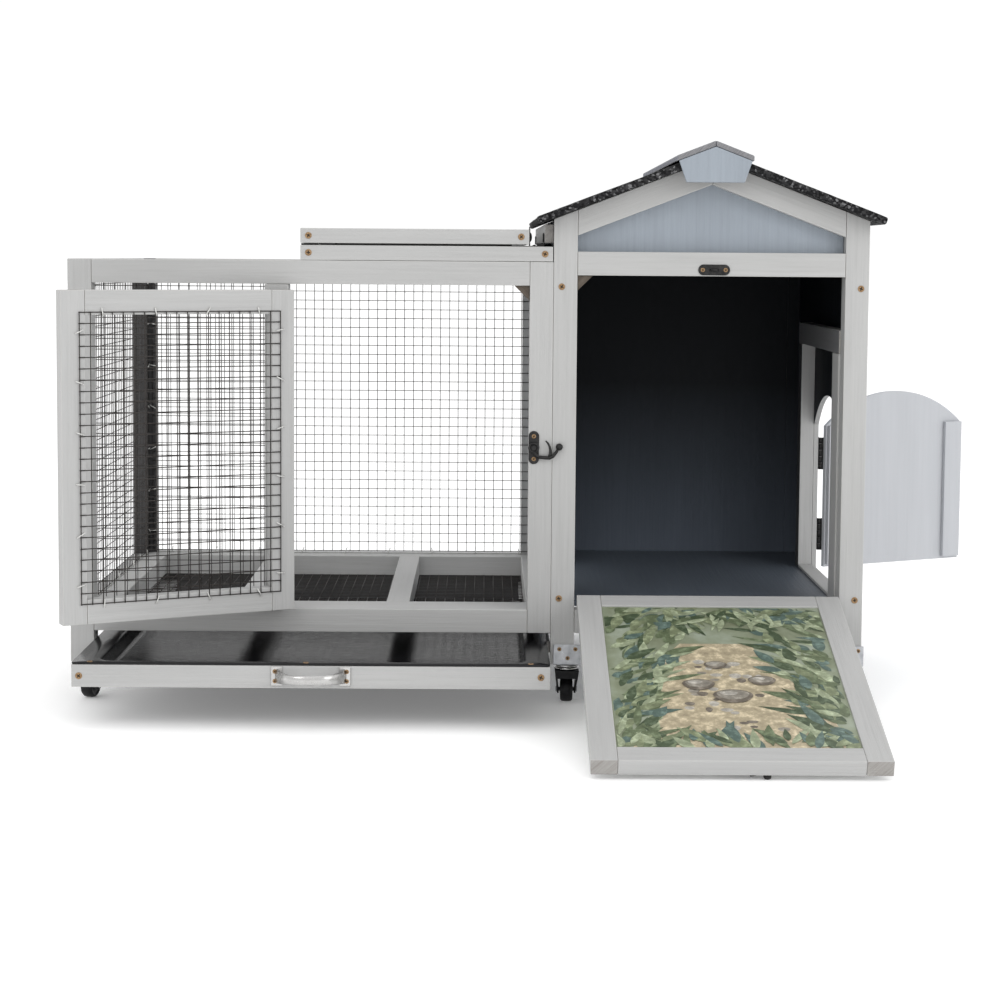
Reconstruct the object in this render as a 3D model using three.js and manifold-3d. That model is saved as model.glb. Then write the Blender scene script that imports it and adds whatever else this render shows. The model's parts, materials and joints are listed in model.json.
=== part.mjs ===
// Rabbit hutch on casters: a mesh run with a folding lid and a pull-out tray, and a felt-roofed house.
// Millimetres. +X from the run to the house, -Y to the front, +Z up.
import * as THREE from 'three';
import { mergeVertices } from 'three/addons/utils/BufferGeometryUtils.js';
import Module from 'manifold-3d';

const wasm = await Module();
wasm.setup();

// Driving dimensions
const RUN_LENGTH = 574;
const HOUSE_LENGTH = 373;
const DEPTH = 513;
const POST = 28;
const BATTEN = 28;
const FRAME_THICKNESS = 17;
const DOOR_THICKNESS = 17;
const PANEL_THICKNESS = 6;
const POST_FOOT_Z = 47.5;
const RAIL_FOOT_Z = 85.5;
const RUN_TOP_Z = 528.5;
const EAVE_OVER_RUN = 51;
const TOP_RAIL_DROP = 38.5;
const WALL_INSET = 11;
const RIGHT_WALL_INSET = 5.5;
const MIDDLE_POST_X = 232.5;
const CLEARANCE = 0.3;
const CUT_OVER = 1;
const MESH_THICKNESS = 1;
const WIRE_EDGE_GAP = 4;

const ROOF_SLOPE = THREE.MathUtils.degToRad(21);
const ROOF_THICKNESS = 9;
const LEFT_EAVE = 20;
const RIGHT_EAVE = 17;
const FRONT_EAVE = 25;
const BACK_EAVE = 12;
const CAP_BOARD_WIDTH = 48;
const CAP_BOARD_THICKNESS = 6;
const CAP_LIFT = 3.5;
const CAP_PLATE_THICKNESS = 5;
const CAP_PLATE_DROP = 42;
const CAP_PLATE_FOOT = 34;
const CAP_PLATE_INSET = 2;

const SILL_DEPTH = 40;
const FLOOR_DROP = 1.5;
const MIDDLE_BAY = 158;
const HINGE_OUT = 2;
const DOOR_GAP = 2.5;
const DOOR_TOP_GAP = 6.5;
const DOOR_WIRE_HINGE_INSET = 13.5;
const DOOR_WIRE_FREE_INSET = 16.5;
const DOOR_WIRE_TOP_INSET = 18;
const DOOR_WIRE_FOOT_INSET = 16;
const MESH_DOOR_OPEN = THREE.MathUtils.degToRad(152.5);
const DROP_DOOR_GAP = 5;
const DROP_DOOR_OPEN = THREE.MathUtils.degToRad(106.7);
const DROP_LATCH_INSET = 20;
const DROP_DOOR_BATTEN = 28;
const PICTURE_THICKNESS = 3;
const PICTURE_RECESS = 2;
const PICTURE_GROOVE = 4;

const SIDE_DOOR_OPEN = THREE.MathUtils.degToRad(117);
const SIDE_ARCH_BACK_Y = 330;
const SIDE_ARCH_WIDTH = 230;
const SIDE_ARCH_SPRING_Z = 313;
const SIDE_ARCH_RISE = 46;
const SIDE_DOOR_GAP = 1.5;
const SIDE_DOOR_BATTEN_THICKNESS = 6;
const SIDE_DOOR_BATTEN_WIDTH = 28;
const SIDE_DOOR_BATTEN_INSET = 2;
const SIDE_DOOR_BATTEN_FOOT = 3.5;
const SIDE_DOOR_BATTEN_DROP = 0.5;
const SIDE_HINGE_OUT = 3;
const SIDE_HINGE_BACK = 1;
const SIDE_FRAME_THICKNESS = 18;
const SIDE_FRAME_TOP_Z = 449;
const SIDE_FRONT_STILE = 47;
const SIDE_SILL_HEIGHT = 4;
const RUN_ARCH_WIDTH = 190;
const RUN_ARCH_SPRING_Z = 290;
const RUN_ARCH_RISE = 40;

const LEAF_THICKNESS = 17.5;
const LEAF_GAP = 2.5;
const LID_GAP = 0.5;
const LEAF_EDGE_GAP = 1;
const LEAF_END_STEP = 28.3;
const LID_SIDE_REVEAL = 2.7;
const LID_WIRE_INSET = 14;
const LID_BOARD_THICKNESS = 10.5;
const LID_BOARD_HEIGHT = 22;
const LID_BOARD_LIFT = 4.5;

const TRAY_OUT = 152;
const TRAY_LEFT_GAP = 1.5;
const TRAY_RIGHT_GAP = 4.5;
const TRAY_TOP_GAP = 10;
const TRAY_BACK_SPACE = 43;
const TRAY_PANEL_THICKNESS = 12;
const LINER_WALL = 2;
const LINER_FLANGE = 28;
const LINER_BACK_FLANGE = 14;
const LINER_FRONT_STEP = 2;
const LINER_GROUND = 6;
const RUNNER_GAP = 1;
const RUNNER_HEIGHT = 14;
const RUNNER_BACK_BOARD = 10;
const HANDLE_LENGTH = 90;
const HANDLE_FOOT = 13;
const HANDLE_REACH = 24;
const HANDLE_BAR = 8;
const HANDLE_PLATE_THICKNESS = 1.5;
const HANDLE_PLATE_INSET = 6;

const WHEEL_RADIUS = 15;
const WHEEL_WIDTH = 15;
const WHEEL_CHAMFER = 2;
const AXLE_RADIUS = 2.5;
const BORE_GAP = 0.5;
const TRAIL = 8;
const CHEEK_THICKNESS = 2;
const CHEEK_GAP = 1.5;
const CHEEK_WIDTH = 14;
const CHEEK_FOOT = 5;
const CHEEK_FOOT_DROP = 4;
const CROWN_RADIUS = 13;
const CROWN_THICKNESS = 4;
const WHEEL_FACETS = 28;
const CASTER_INSET = 6;
const RUN_CASTER_INSET = 3;

const RUN_LATCH_Z = 308.5;
const RUN_LATCH_INSET = 6;
const RUN_LATCH_TURN = THREE.MathUtils.degToRad(10);
const DROP_LATCH_TURN = THREE.MathUtils.degToRad(25);
const LATCH_PLATE = [12.5, 38, 1.5];
const HUB_RADIUS = 4.5;
const HUB_HEIGHT = 4.5;
const HUB_GAP = 0.4;
const RING_WIDTH = 2.8;
const HOOK_REACH = 28;
const HOOK_WIRE = 3.2;
const HORN_REACH = 15;
const HORN_RISE = 2;
const BALL_RADIUS = 3.6;

// Derived places
const BODY_LENGTH = RUN_LENGTH + HOUSE_LENGTH;
const HOUSE_X = RUN_LENGTH;
const RIDGE_X = HOUSE_X + HOUSE_LENGTH / 2;
const EAVE_Z = RUN_TOP_Z + EAVE_OVER_RUN;
const HOUSE_TOP_RAIL_Z = EAVE_Z - TOP_RAIL_DROP;
const RISE = Math.tan(ROOF_SLOPE);
const RIDGE_Z = EAVE_Z + (HOUSE_LENGTH / 2) * RISE;
const RAIL_TOP_Z = RAIL_FOOT_Z + BATTEN;
const RUN_RAIL_Z = RUN_TOP_Z - BATTEN;
const BACK_Y = DEPTH - FRAME_THICKNESS;
const FLOOR_Z = RAIL_TOP_Z + CLEARANCE;
const HOUSE_FLOOR_TOP_Z = FLOOR_Z + PANEL_THICKNESS;
const ROOF_DROP = BATTEN / Math.cos(ROOF_SLOPE);
const LEFT_LEAF_LENGTH = (RUN_LENGTH - 3 * LEAF_EDGE_GAP - LID_SIDE_REVEAL - LEAF_END_STEP) / 2;
const FOLD_X = LEFT_LEAF_LENGTH + LEAF_EDGE_GAP + LID_SIDE_REVEAL;
const TRAY_PANEL_HEIGHT = RAIL_FOOT_Z - POST_FOOT_Z - TRAY_TOP_GAP;

// Materials
function paint(name, color, roughness = 0.6, metalness = 0) {
  const material = new THREE.MeshStandardMaterial({ color, roughness, metalness });
  material.name = name;
  return material;
}

const greyWood = () => paint('grey_painted_wood', 0xc9c9c4);
const blueWood = () => paint('blue_grey_painted_board', 0x9aa3b0);
const darkWood = () => paint('dark_blue_interior', 0x2c3440);
const felt = () => paint('roofing_felt', 0x2a2b2c, 0.95);
const wire = () => paint('mesh_wire', 0x55504c, 0.5, 0.6);
const liner = () => paint('tray_plastic', 0x0c0c0d, 0.25);
const chrome = () => paint('chrome', 0xd8d8d8, 0.15, 1);
const blackSteel = () => paint('black_hardware', 0x111112, 0.5, 0.4);
const wheelPlastic = () => paint('wheel_plastic', 0x121212, 0.45);
const paleBlue = () => paint('pale_door_paint', 0xb9c0c6);
const picture = () => paint('printed_picture', 0xe6e2d2, 0.5);

// Solids
const hutch = new THREE.Group();
hutch.name = 'rabbit_hutch';

function solidOf(geometry) {
  const bare = geometry.clone();
  bare.deleteAttribute('normal');
  bare.deleteAttribute('uv');
  const merged = mergeVertices(bare, 1e-4);
  const vertProperties = new Float32Array(merged.attributes.position.array);
  const triVerts = new Uint32Array(merged.index.array);
  return new wasm.Manifold(new wasm.Mesh({ numProp: 3, vertProperties, triVerts }));
}

function geometryOf(solid) {
  const mesh = solid.getMesh();
  const geometry = new THREE.BufferGeometry();
  geometry.setAttribute('position', new THREE.BufferAttribute(mesh.vertProperties, 3));
  geometry.setIndex(new THREE.BufferAttribute(mesh.triVerts, 1));
  return geometry;
}

function join(geometries) {
  return geometryOf(geometries.map(solidOf).reduce((whole, piece) => whole.add(piece)));
}

function cut(geometry, tools) {
  return geometryOf(tools.map(solidOf).reduce((whole, tool) => whole.subtract(tool), solidOf(geometry)));
}

function block(x0, x1, y0, y1, z0, z1) {
  const geometry = new THREE.BoxGeometry(x1 - x0, y1 - y0, z1 - z0);
  return geometry.translate((x0 + x1) / 2, (y0 + y1) / 2, (z0 + z1) / 2);
}

function add(name, geometry, material, parent = hutch) {
  const mesh = new THREE.Mesh(geometry, material);
  mesh.name = name;
  parent.add(mesh);
  return mesh;
}

// A flat outline in the XZ plane, extruded along +Y from y0 to y1.
function slabXZ(points, y0, y1) {
  const shape = new THREE.Shape(points.map(([x, z]) => new THREE.Vector2(x, z)));
  const geometry = new THREE.ExtrudeGeometry(shape, { depth: y1 - y0, bevelEnabled: false });
  return geometry.rotateX(Math.PI / 2).translate(0, y1, 0);
}

// A flat outline in the YZ plane, extruded along +X from x0 to x1.
function slabYZ(shape, x0, x1) {
  const sweep = { depth: x1 - x0, bevelEnabled: false, curveSegments: 20 };
  const geometry = new THREE.ExtrudeGeometry(shape, sweep);
  geometry.rotateX(Math.PI / 2).rotateZ(Math.PI / 2);
  return geometry.translate(x0, 0, 0);
}

// A doorway outline: straight sides from z0 up to the spring, then one arc that rises to the crown.
function archShape(y0, y1, z0, springZ, rise) {
  const half = (y1 - y0) / 2;
  const radius = (half * half + rise * rise) / (2 * rise);
  const centreZ = springZ + rise - radius;
  const start = Math.atan2(springZ - centreZ, half);
  const shape = new THREE.Shape();
  shape.moveTo(y0, z0);
  shape.lineTo(y1, z0);
  shape.lineTo(y1, springZ);
  shape.absarc((y0 + y1) / 2, centreZ, radius, start, Math.PI - start, false);
  shape.lineTo(y0, z0);
  return shape;
}

function roofUnderZ(x) {
  return RIDGE_Z - Math.abs(x - RIDGE_X) * RISE;
}

// Four battens around an opening, in the XZ plane.
function frameXZ(x0, x1, y0, y1, z0, z1, width) {
  const hole = block(x0 + width, x1 - width, y0 - CUT_OVER, y1 + CUT_OVER, z0 + width, z1 - width);
  return cut(block(x0, x1, y0, y1, z0, z1), [hole]);
}

// Four battens around an opening, in the XY plane.
function frameXY(x0, x1, y0, y1, z0, z1, width) {
  const hole = block(x0 + width, x1 - width, y0 + width, y1 - width, z0 - CUT_OVER, z1 + CUT_OVER);
  return cut(block(x0, x1, y0, y1, z0, z1), [hole]);
}

// Run: posts, rails, frames and wire panels
function buildRun() {
  const rightPostX = RUN_LENGTH - POST;
  const railEnd = rightPostX - CLEARANCE;
  add('run_front_left_post', block(0, POST, 0, POST, POST_FOOT_Z, RUN_TOP_Z), greyWood());
  const rightPost = block(rightPostX, RUN_LENGTH - CLEARANCE, 0, POST, RAIL_FOOT_Z, RUN_TOP_Z);
  add('run_front_right_post', rightPost, greyWood());
  add('run_front_top_rail', block(POST + CLEARANCE, railEnd, 0, POST, RUN_RAIL_Z, RUN_TOP_Z), greyWood());
  const bottomRail = block(POST + CLEARANCE, railEnd, 0, POST, RAIL_FOOT_Z, RAIL_TOP_Z);
  add('run_front_bottom_rail', bottomRail, greyWood());
  const postTop = RUN_RAIL_Z - CLEARANCE;
  const postFoot = RAIL_TOP_Z + CLEARANCE;
  const middlePost = block(MIDDLE_POST_X, MIDDLE_POST_X + POST, 0, POST, postFoot, postTop);
  add('run_front_middle_post', middlePost, greyWood());

  const backEnd = RUN_LENGTH - CLEARANCE;
  const cutY0 = BACK_Y - CUT_OVER;
  const cutY1 = DEPTH + CUT_OVER;
  const backWindow = block(BATTEN, backEnd - BATTEN, cutY0, cutY1, RAIL_TOP_Z, RUN_RAIL_Z);
  const footNotch = block(BATTEN, backEnd + CUT_OVER, cutY0, cutY1, POST_FOOT_Z - CUT_OVER, RAIL_FOOT_Z);
  const backSheet = block(0, backEnd, BACK_Y, DEPTH, POST_FOOT_Z, RUN_TOP_Z);
  add('run_back_frame', cut(backSheet, [backWindow, footNotch]), greyWood());

  const leftFront = POST + CLEARANCE;
  const leftBack = BACK_Y - CLEARANCE;
  const leftSheet = block(0, FRAME_THICKNESS, leftFront, leftBack, RAIL_FOOT_Z, RUN_TOP_Z);
  const leftWindow = block(
    -CUT_OVER, FRAME_THICKNESS + CUT_OVER, leftFront + BATTEN, leftBack - BATTEN, RAIL_TOP_Z, RUN_RAIL_Z,
  );
  add('run_left_frame', cut(leftSheet, [leftWindow]), greyWood());

  // Floor frame: sills front and back, side strips and two cross battens in one plane
  const floorX0 = FRAME_THICKNESS + CLEARANCE;
  const floorX1 = RUN_LENGTH - CLEARANCE;
  const floorY0 = POST + CLEARANCE;
  const floorY1 = BACK_Y - CLEARANCE;
  const floorTop = RAIL_TOP_Z - FLOOR_DROP;
  const middle = (floorX0 + floorX1) / 2;
  const bayEdges = [
    [floorX0 + BATTEN, middle - MIDDLE_BAY / 2 - BATTEN],
    [middle - MIDDLE_BAY / 2, middle + MIDDLE_BAY / 2],
    [middle + MIDDLE_BAY / 2 + BATTEN, floorX1 - BATTEN],
  ];
  const bayY0 = floorY0 + SILL_DEPTH;
  const bayY1 = floorY1 - BATTEN;
  const bayZ0 = RAIL_FOOT_Z - CUT_OVER;
  const bays = bayEdges.map(([x0, x1]) => block(x0, x1, bayY0, bayY1, bayZ0, floorTop + CUT_OVER));
  const floorSheet = block(floorX0, floorX1, floorY0, floorY1, RAIL_FOOT_Z, floorTop);
  add('run_floor_frame', cut(floorSheet, bays), greyWood());

  // Wire panels: on the inner faces of their frames, and under the floor frame
  const meshFloorZ = RAIL_FOOT_Z - CLEARANCE - MESH_THICKNESS;
  const inner = FRAME_THICKNESS + 3 * CLEARANCE + 2 * MESH_THICKNESS;
  const backMeshY = BACK_Y - CLEARANCE;
  const floorWireY0 = floorY0 + WIRE_EDGE_GAP;
  const floorWireY1 = backMeshY - WIRE_EDGE_GAP;
  const floorWire = block(inner, floorX1, floorWireY0, floorWireY1, meshFloorZ, meshFloorZ + MESH_THICKNESS);
  add('run_floor_mesh', floorWire, wire());
  const wireTop = RUN_TOP_Z - WIRE_EDGE_GAP;
  const wireFoot = RAIL_TOP_Z + CLEARANCE;
  const backWire = block(inner, backEnd, backMeshY - MESH_THICKNESS, backMeshY, wireFoot, wireTop);
  add('run_back_mesh', backWire, wire());
  const leftMeshX = FRAME_THICKNESS + CLEARANCE;
  const leftMeshBack = backMeshY - MESH_THICKNESS - CLEARANCE;
  const leftWire = block(leftMeshX, leftMeshX + MESH_THICKNESS, leftFront, leftMeshBack, wireFoot, wireTop);
  add('run_left_mesh', leftWire, wire());
  const frontMeshY = POST + CLEARANCE;
  const frontMeshX1 = MIDDLE_POST_X + POST;
  const frontMeshX0 = leftMeshX + MESH_THICKNESS + CLEARANCE;
  const frontMeshBack = frontMeshY + MESH_THICKNESS;
  const frontWire = block(frontMeshX0, frontMeshX1, frontMeshY, frontMeshBack, wireFoot, wireTop);
  add('run_front_mesh', frontWire, wire());
}

// House: posts with sloped tops, rails, rafters, panels and roof
function slopedPost(name, x0, x1, y0, y1) {
  const outline = [
    [x0, POST_FOOT_Z],
    [x1, POST_FOOT_Z],
    [x1, roofUnderZ(x1) - CLEARANCE],
    [x0, roofUnderZ(x0) - CLEARANCE],
  ];
  add(name, slabXZ(outline, y0, y1), greyWood());
}

function buildHouse() {
  const left = HOUSE_X;
  const right = BODY_LENGTH;
  const railX0 = left + POST + CLEARANCE;
  const railX1 = right - POST - CLEARANCE;
  const backPostY = DEPTH - POST;
  slopedPost('house_front_left_post', left, left + POST, 0, POST);
  slopedPost('house_front_right_post', right - POST, right, 0, POST);
  slopedPost('house_back_left_post', left, left + POST, backPostY, DEPTH);
  slopedPost('house_back_right_post', right - POST, right, backPostY, DEPTH);
  const topRailZ = HOUSE_TOP_RAIL_Z - BATTEN;
  const topRail = block(railX0, railX1, 0, FRAME_THICKNESS, topRailZ, HOUSE_TOP_RAIL_Z);
  add('house_front_top_rail', topRail, greyWood());
  add('house_front_bottom_rail', block(railX0, railX1, 0, POST, RAIL_FOOT_Z, RAIL_TOP_Z), greyWood());

  // Rafters: one bent pair under the roof's front edge
  const under = (x) => roofUnderZ(x) - CLEARANCE;
  const rafters = [
    [railX0, under(railX0) - ROOF_DROP],
    [RIDGE_X, under(RIDGE_X) - ROOF_DROP],
    [railX1, under(railX1) - ROOF_DROP],
    [railX1, under(railX1)],
    [RIDGE_X, under(RIDGE_X)],
    [railX0, under(railX0)],
  ];
  add('house_front_rafters', slabXZ(rafters, 0, FRAME_THICKNESS), greyWood());

  // Gable and back: one board each, behind the front rail and between the back posts
  const gableY = FRAME_THICKNESS + CLEARANCE;
  const gable = [
    [railX0, topRailZ + CLEARANCE],
    [railX1, topRailZ + CLEARANCE],
    [railX1, under(railX1)],
    [RIDGE_X, under(RIDGE_X)],
    [railX0, under(railX0)],
  ];
  add('house_gable_panel', slabXZ(gable, gableY, gableY + PANEL_THICKNESS), blueWood());
  const back = gable.map(([x, z], index) => [x, index < 2 ? RAIL_FOOT_Z : z]);
  add('house_back_panel', slabXZ(back, backPostY, backPostY + PANEL_THICKNESS), darkWood());

  // Floor board: it lies between the walls, at the height of the bottom rail's top
  const wallX0 = left + WALL_INSET;
  const wallX1 = right - PANEL_THICKNESS - RIGHT_WALL_INSET;
  const floorX0 = wallX0 + PANEL_THICKNESS + CLEARANCE;
  const floorX1 = wallX1 - CLEARANCE;
  const floorY0 = POST + CLEARANCE;
  const floorY1 = backPostY - CLEARANCE;
  const floorBoard = block(floorX0, floorX1, floorY0, floorY1, FLOOR_Z, HOUSE_FLOOR_TOP_Z);
  add('house_floor_panel', floorBoard, darkWood());

  // Side walls between the posts, each with an arched doorway
  const wallY0 = POST + CLEARANCE;
  const wallY1 = backPostY - CLEARANCE;
  const wallTopLeft = roofUnderZ(wallX0) - CLEARANCE;
  const wallTopRight = roofUnderZ(wallX1 + PANEL_THICKNESS) - CLEARANCE;
  const runArchY = (wallY0 + wallY1) / 2 - RUN_ARCH_WIDTH / 2;
  const archFoot = HOUSE_FLOOR_TOP_Z;
  const runArchEnd = runArchY + RUN_ARCH_WIDTH;
  const runArch = archShape(runArchY, runArchEnd, archFoot, RUN_ARCH_SPRING_Z, RUN_ARCH_RISE);
  const leftWall = block(wallX0, wallX0 + PANEL_THICKNESS, wallY0, wallY1, RAIL_FOOT_Z, wallTopLeft);
  const runArchCut = slabYZ(runArch, wallX0 - CUT_OVER, wallX0 + PANEL_THICKNESS + CUT_OVER);
  add('house_left_panel', cut(leftWall, [runArchCut]), darkWood());

  const archY0 = SIDE_ARCH_BACK_Y - SIDE_ARCH_WIDTH;
  const sideArch = archShape(archY0, SIDE_ARCH_BACK_Y, archFoot, SIDE_ARCH_SPRING_Z, SIDE_ARCH_RISE);
  const rightWall = block(wallX1, wallX1 + PANEL_THICKNESS, wallY0, wallY1, RAIL_FOOT_Z, wallTopRight);
  const sideArchCut = slabYZ(sideArch, wallX1 - CUT_OVER, wallX1 + PANEL_THICKNESS + CUT_OVER);
  add('house_right_panel', cut(rightWall, [sideArchCut]), blueWood());

  // Batten frame on the inner face of the right wall, around its doorway
  const frameX1 = wallX1 - CLEARANCE;
  const frameX0 = frameX1 - SIDE_FRAME_THICKNESS;
  const frameFoot = HOUSE_FLOOR_TOP_Z + CLEARANCE;
  const stileY0 = SIDE_ARCH_BACK_Y;
  const sheet = block(frameX0, frameX1, wallY0, stileY0 + BATTEN, frameFoot, SIDE_FRAME_TOP_Z);
  const holeY0 = wallY0 + SIDE_FRONT_STILE;
  const holeZ0 = frameFoot + SIDE_SILL_HEIGHT;
  const holeZ1 = SIDE_FRAME_TOP_Z - BATTEN;
  const innerHole = block(frameX0 - CUT_OVER, frameX1 + CUT_OVER, holeY0, stileY0, holeZ0, holeZ1);
  add('house_right_frame', cut(sheet, [innerHole]), greyWood());
  buildSideDoor(wallX1, archY0);

  // Board above the run's lid, on the outside of the left wall, that carries the lid's hinges
  const boardZ = RUN_TOP_Z + LID_GAP + LEAF_THICKNESS + LID_BOARD_LIFT;
  const boardY1 = DEPTH - POST / 2;
  const boardX1 = left - CLEARANCE;
  const boardX0 = boardX1 - LID_BOARD_THICKNESS;
  const board = block(boardX0, boardX1, POST / 2, boardY1, boardZ, boardZ + LID_BOARD_HEIGHT);
  add('lid_hinge_board', board, greyWood());
}

// Roof: two felted boards that meet at the ridge, and the grey ridge cap over them
function buildRoof() {
  const thick = ROOF_THICKNESS / Math.cos(ROOF_SLOPE);
  const y0 = -FRONT_EAVE;
  const y1 = DEPTH + BACK_EAVE;
  const leftX = HOUSE_X - LEFT_EAVE;
  const rightX = BODY_LENGTH + RIGHT_EAVE;
  const seam = CLEARANCE / 2;
  const side = (eaveX, ridgeX) => [
    [eaveX, roofUnderZ(eaveX)],
    [ridgeX, roofUnderZ(ridgeX)],
    [ridgeX, roofUnderZ(ridgeX) + thick],
    [eaveX, roofUnderZ(eaveX) + thick],
  ];
  add('roof_left_panel', slabXZ(side(leftX, RIDGE_X - seam), y0, y1), felt());
  add('roof_right_panel', slabXZ(side(RIDGE_X + seam, rightX).reverse(), y0, y1), felt());

  const reach = CAP_BOARD_WIDTH * Math.cos(ROOF_SLOPE);
  const capUnder = (x) => roofUnderZ(x) + thick + CAP_LIFT;
  const capTop = CAP_BOARD_THICKNESS / Math.cos(ROOF_SLOPE);
  const capY0 = y0 - CAP_PLATE_THICKNESS - CLEARANCE;
  const capY1 = y1 + CAP_PLATE_THICKNESS + CLEARANCE;
  const boards = slabXZ([
    [RIDGE_X - reach, capUnder(RIDGE_X - reach)],
    [RIDGE_X, capUnder(RIDGE_X)],
    [RIDGE_X + reach, capUnder(RIDGE_X + reach)],
    [RIDGE_X + reach, capUnder(RIDGE_X + reach) + capTop],
    [RIDGE_X, capUnder(RIDGE_X) + capTop],
    [RIDGE_X - reach, capUnder(RIDGE_X - reach) + capTop],
  ], capY0, capY1);
  const footZ = RIDGE_Z + thick + CAP_LIFT - CAP_PLATE_DROP;
  const shoulder = reach - CAP_PLATE_INSET;
  const plate = [
    [RIDGE_X - CAP_PLATE_FOOT, footZ],
    [RIDGE_X + CAP_PLATE_FOOT, footZ],
    [RIDGE_X + shoulder, capUnder(RIDGE_X + shoulder) - CLEARANCE],
    [RIDGE_X, capUnder(RIDGE_X) - CLEARANCE],
    [RIDGE_X - shoulder, capUnder(RIDGE_X - shoulder) - CLEARANCE],
  ];
  add('ridge_front_plate', slabXZ(plate, capY0 + CLEARANCE, y0 - CLEARANCE), blueWood());
  const backPlate = plate.map(([x, z], index) => [x, index < 2 ? z : z + 2 * CLEARANCE]);
  add('ridge_cap', join([boards, slabXZ(backPlate, y1 + CLEARANCE, capY1)]), greyWood());
}

// Side door: an arched board with two battens glued to its inner face, hinged at the back of its doorway
function buildSideDoor(wallX, archY0) {
  const hinge = new THREE.Group();
  const pivotX = wallX + PANEL_THICKNESS + SIDE_HINGE_OUT;
  const pivotY = SIDE_ARCH_BACK_Y + SIDE_HINGE_BACK;
  hinge.name = 'side_door_pivot';
  hinge.position.set(pivotX, pivotY, 0);
  hinge.rotation.z = SIDE_DOOR_OPEN;
  hutch.add(hinge);
  const y0 = archY0 + SIDE_DOOR_GAP;
  const y1 = SIDE_ARCH_BACK_Y - SIDE_DOOR_GAP;
  const z0 = HOUSE_FLOOR_TOP_Z + SIDE_DOOR_GAP;
  const rise = SIDE_ARCH_RISE - SIDE_DOOR_GAP;
  const outline = archShape(y0, y1, z0, SIDE_ARCH_SPRING_Z - SIDE_DOOR_GAP, rise);
  const panel = slabYZ(outline, wallX, wallX + PANEL_THICKNESS);
  const battenX1 = wallX + PANEL_THICKNESS / 2;
  const battenX0 = wallX - SIDE_DOOR_BATTEN_THICKNESS;
  const battenFoot = z0 + SIDE_DOOR_BATTEN_FOOT;
  const battenTop = SIDE_ARCH_SPRING_Z - SIDE_DOOR_BATTEN_DROP;
  const width = SIDE_DOOR_BATTEN_WIDTH;
  const battenYs = [y0 + SIDE_DOOR_BATTEN_INSET, y1 - width - SIDE_DOOR_BATTEN_INSET];
  const battens = battenYs.map((y) => block(battenX0, battenX1, y, y + width, battenFoot, battenTop));
  add('side_door', join([panel, ...battens]).translate(-pivotX, -pivotY, 0), paleBlue(), hinge);
}

// Hook latch: a plate, and a hook with a curved horn and a ball that turns on the plate's hub.
// Built in a frame where the plate lies in XZ, its long side along Z, and the hook stands out along -Y.
function latchPlate() {
  const [width, height, thickness] = LATCH_PLATE;
  const hub = new THREE.CylinderGeometry(HUB_RADIUS, HUB_RADIUS, HUB_HEIGHT, 16);
  hub.translate(0, -thickness - HUB_HEIGHT / 2 + CUT_OVER, 0);
  return join([block(-width / 2, width / 2, -thickness, 0, -height / 2, height / 2), hub]);
}

function latchHook() {
  const y = -LATCH_PLATE[2] - HUB_HEIGHT / 2;
  const half = HOOK_WIRE / 2;
  const ringRadius = HUB_RADIUS + RING_WIDTH;
  const ring = new THREE.CylinderGeometry(ringRadius, ringRadius, HOOK_WIRE, 18).translate(0, y, 0);
  const barX0 = HUB_RADIUS + RING_WIDTH / 2;
  const bar = block(barX0, HOOK_REACH - BALL_RADIUS / 2, y - half, y + half, -half, half);
  const ball = new THREE.SphereGeometry(BALL_RADIUS, 14, 8).translate(HOOK_REACH, y, 0);
  const horn = new THREE.Shape();
  const outer = HORN_REACH - HUB_RADIUS;
  horn.absarc(HORN_REACH, HORN_RISE, outer, Math.PI, Math.PI / 2, true);
  horn.lineTo(HORN_REACH + HOOK_WIRE / 2, HORN_RISE + outer - HOOK_WIRE);
  horn.absarc(HORN_REACH, HORN_RISE, outer - HOOK_WIRE, Math.PI / 2, Math.PI, false);
  const sweep = { depth: HOOK_WIRE, bevelEnabled: false, curveSegments: 10 };
  const curve = new THREE.ExtrudeGeometry(horn, sweep);
  curve.rotateX(Math.PI / 2).translate(0, y + half, 0);
  const boreRadius = HUB_RADIUS + HUB_GAP;
  const bore = new THREE.CylinderGeometry(boreRadius, boreRadius, HUB_HEIGHT * 3, 16).translate(0, y, 0);
  return cut(join([ring, bar, ball, curve]), [bore]);
}

function buildRunLatch() {
  const spot = new THREE.Group();
  spot.name = 'run_latch_pivot';
  spot.position.set(RUN_LENGTH - POST + RUN_LATCH_INSET, -CLEARANCE, RUN_LATCH_Z);
  hutch.add(spot);
  add('run_latch_plate', latchPlate(), blackSteel(), spot);
  const turn = new THREE.Group();
  turn.rotation.y = -RUN_LATCH_TURN;
  spot.add(turn);
  add('run_latch_hook', latchHook(), blackSteel(), turn);
}

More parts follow.
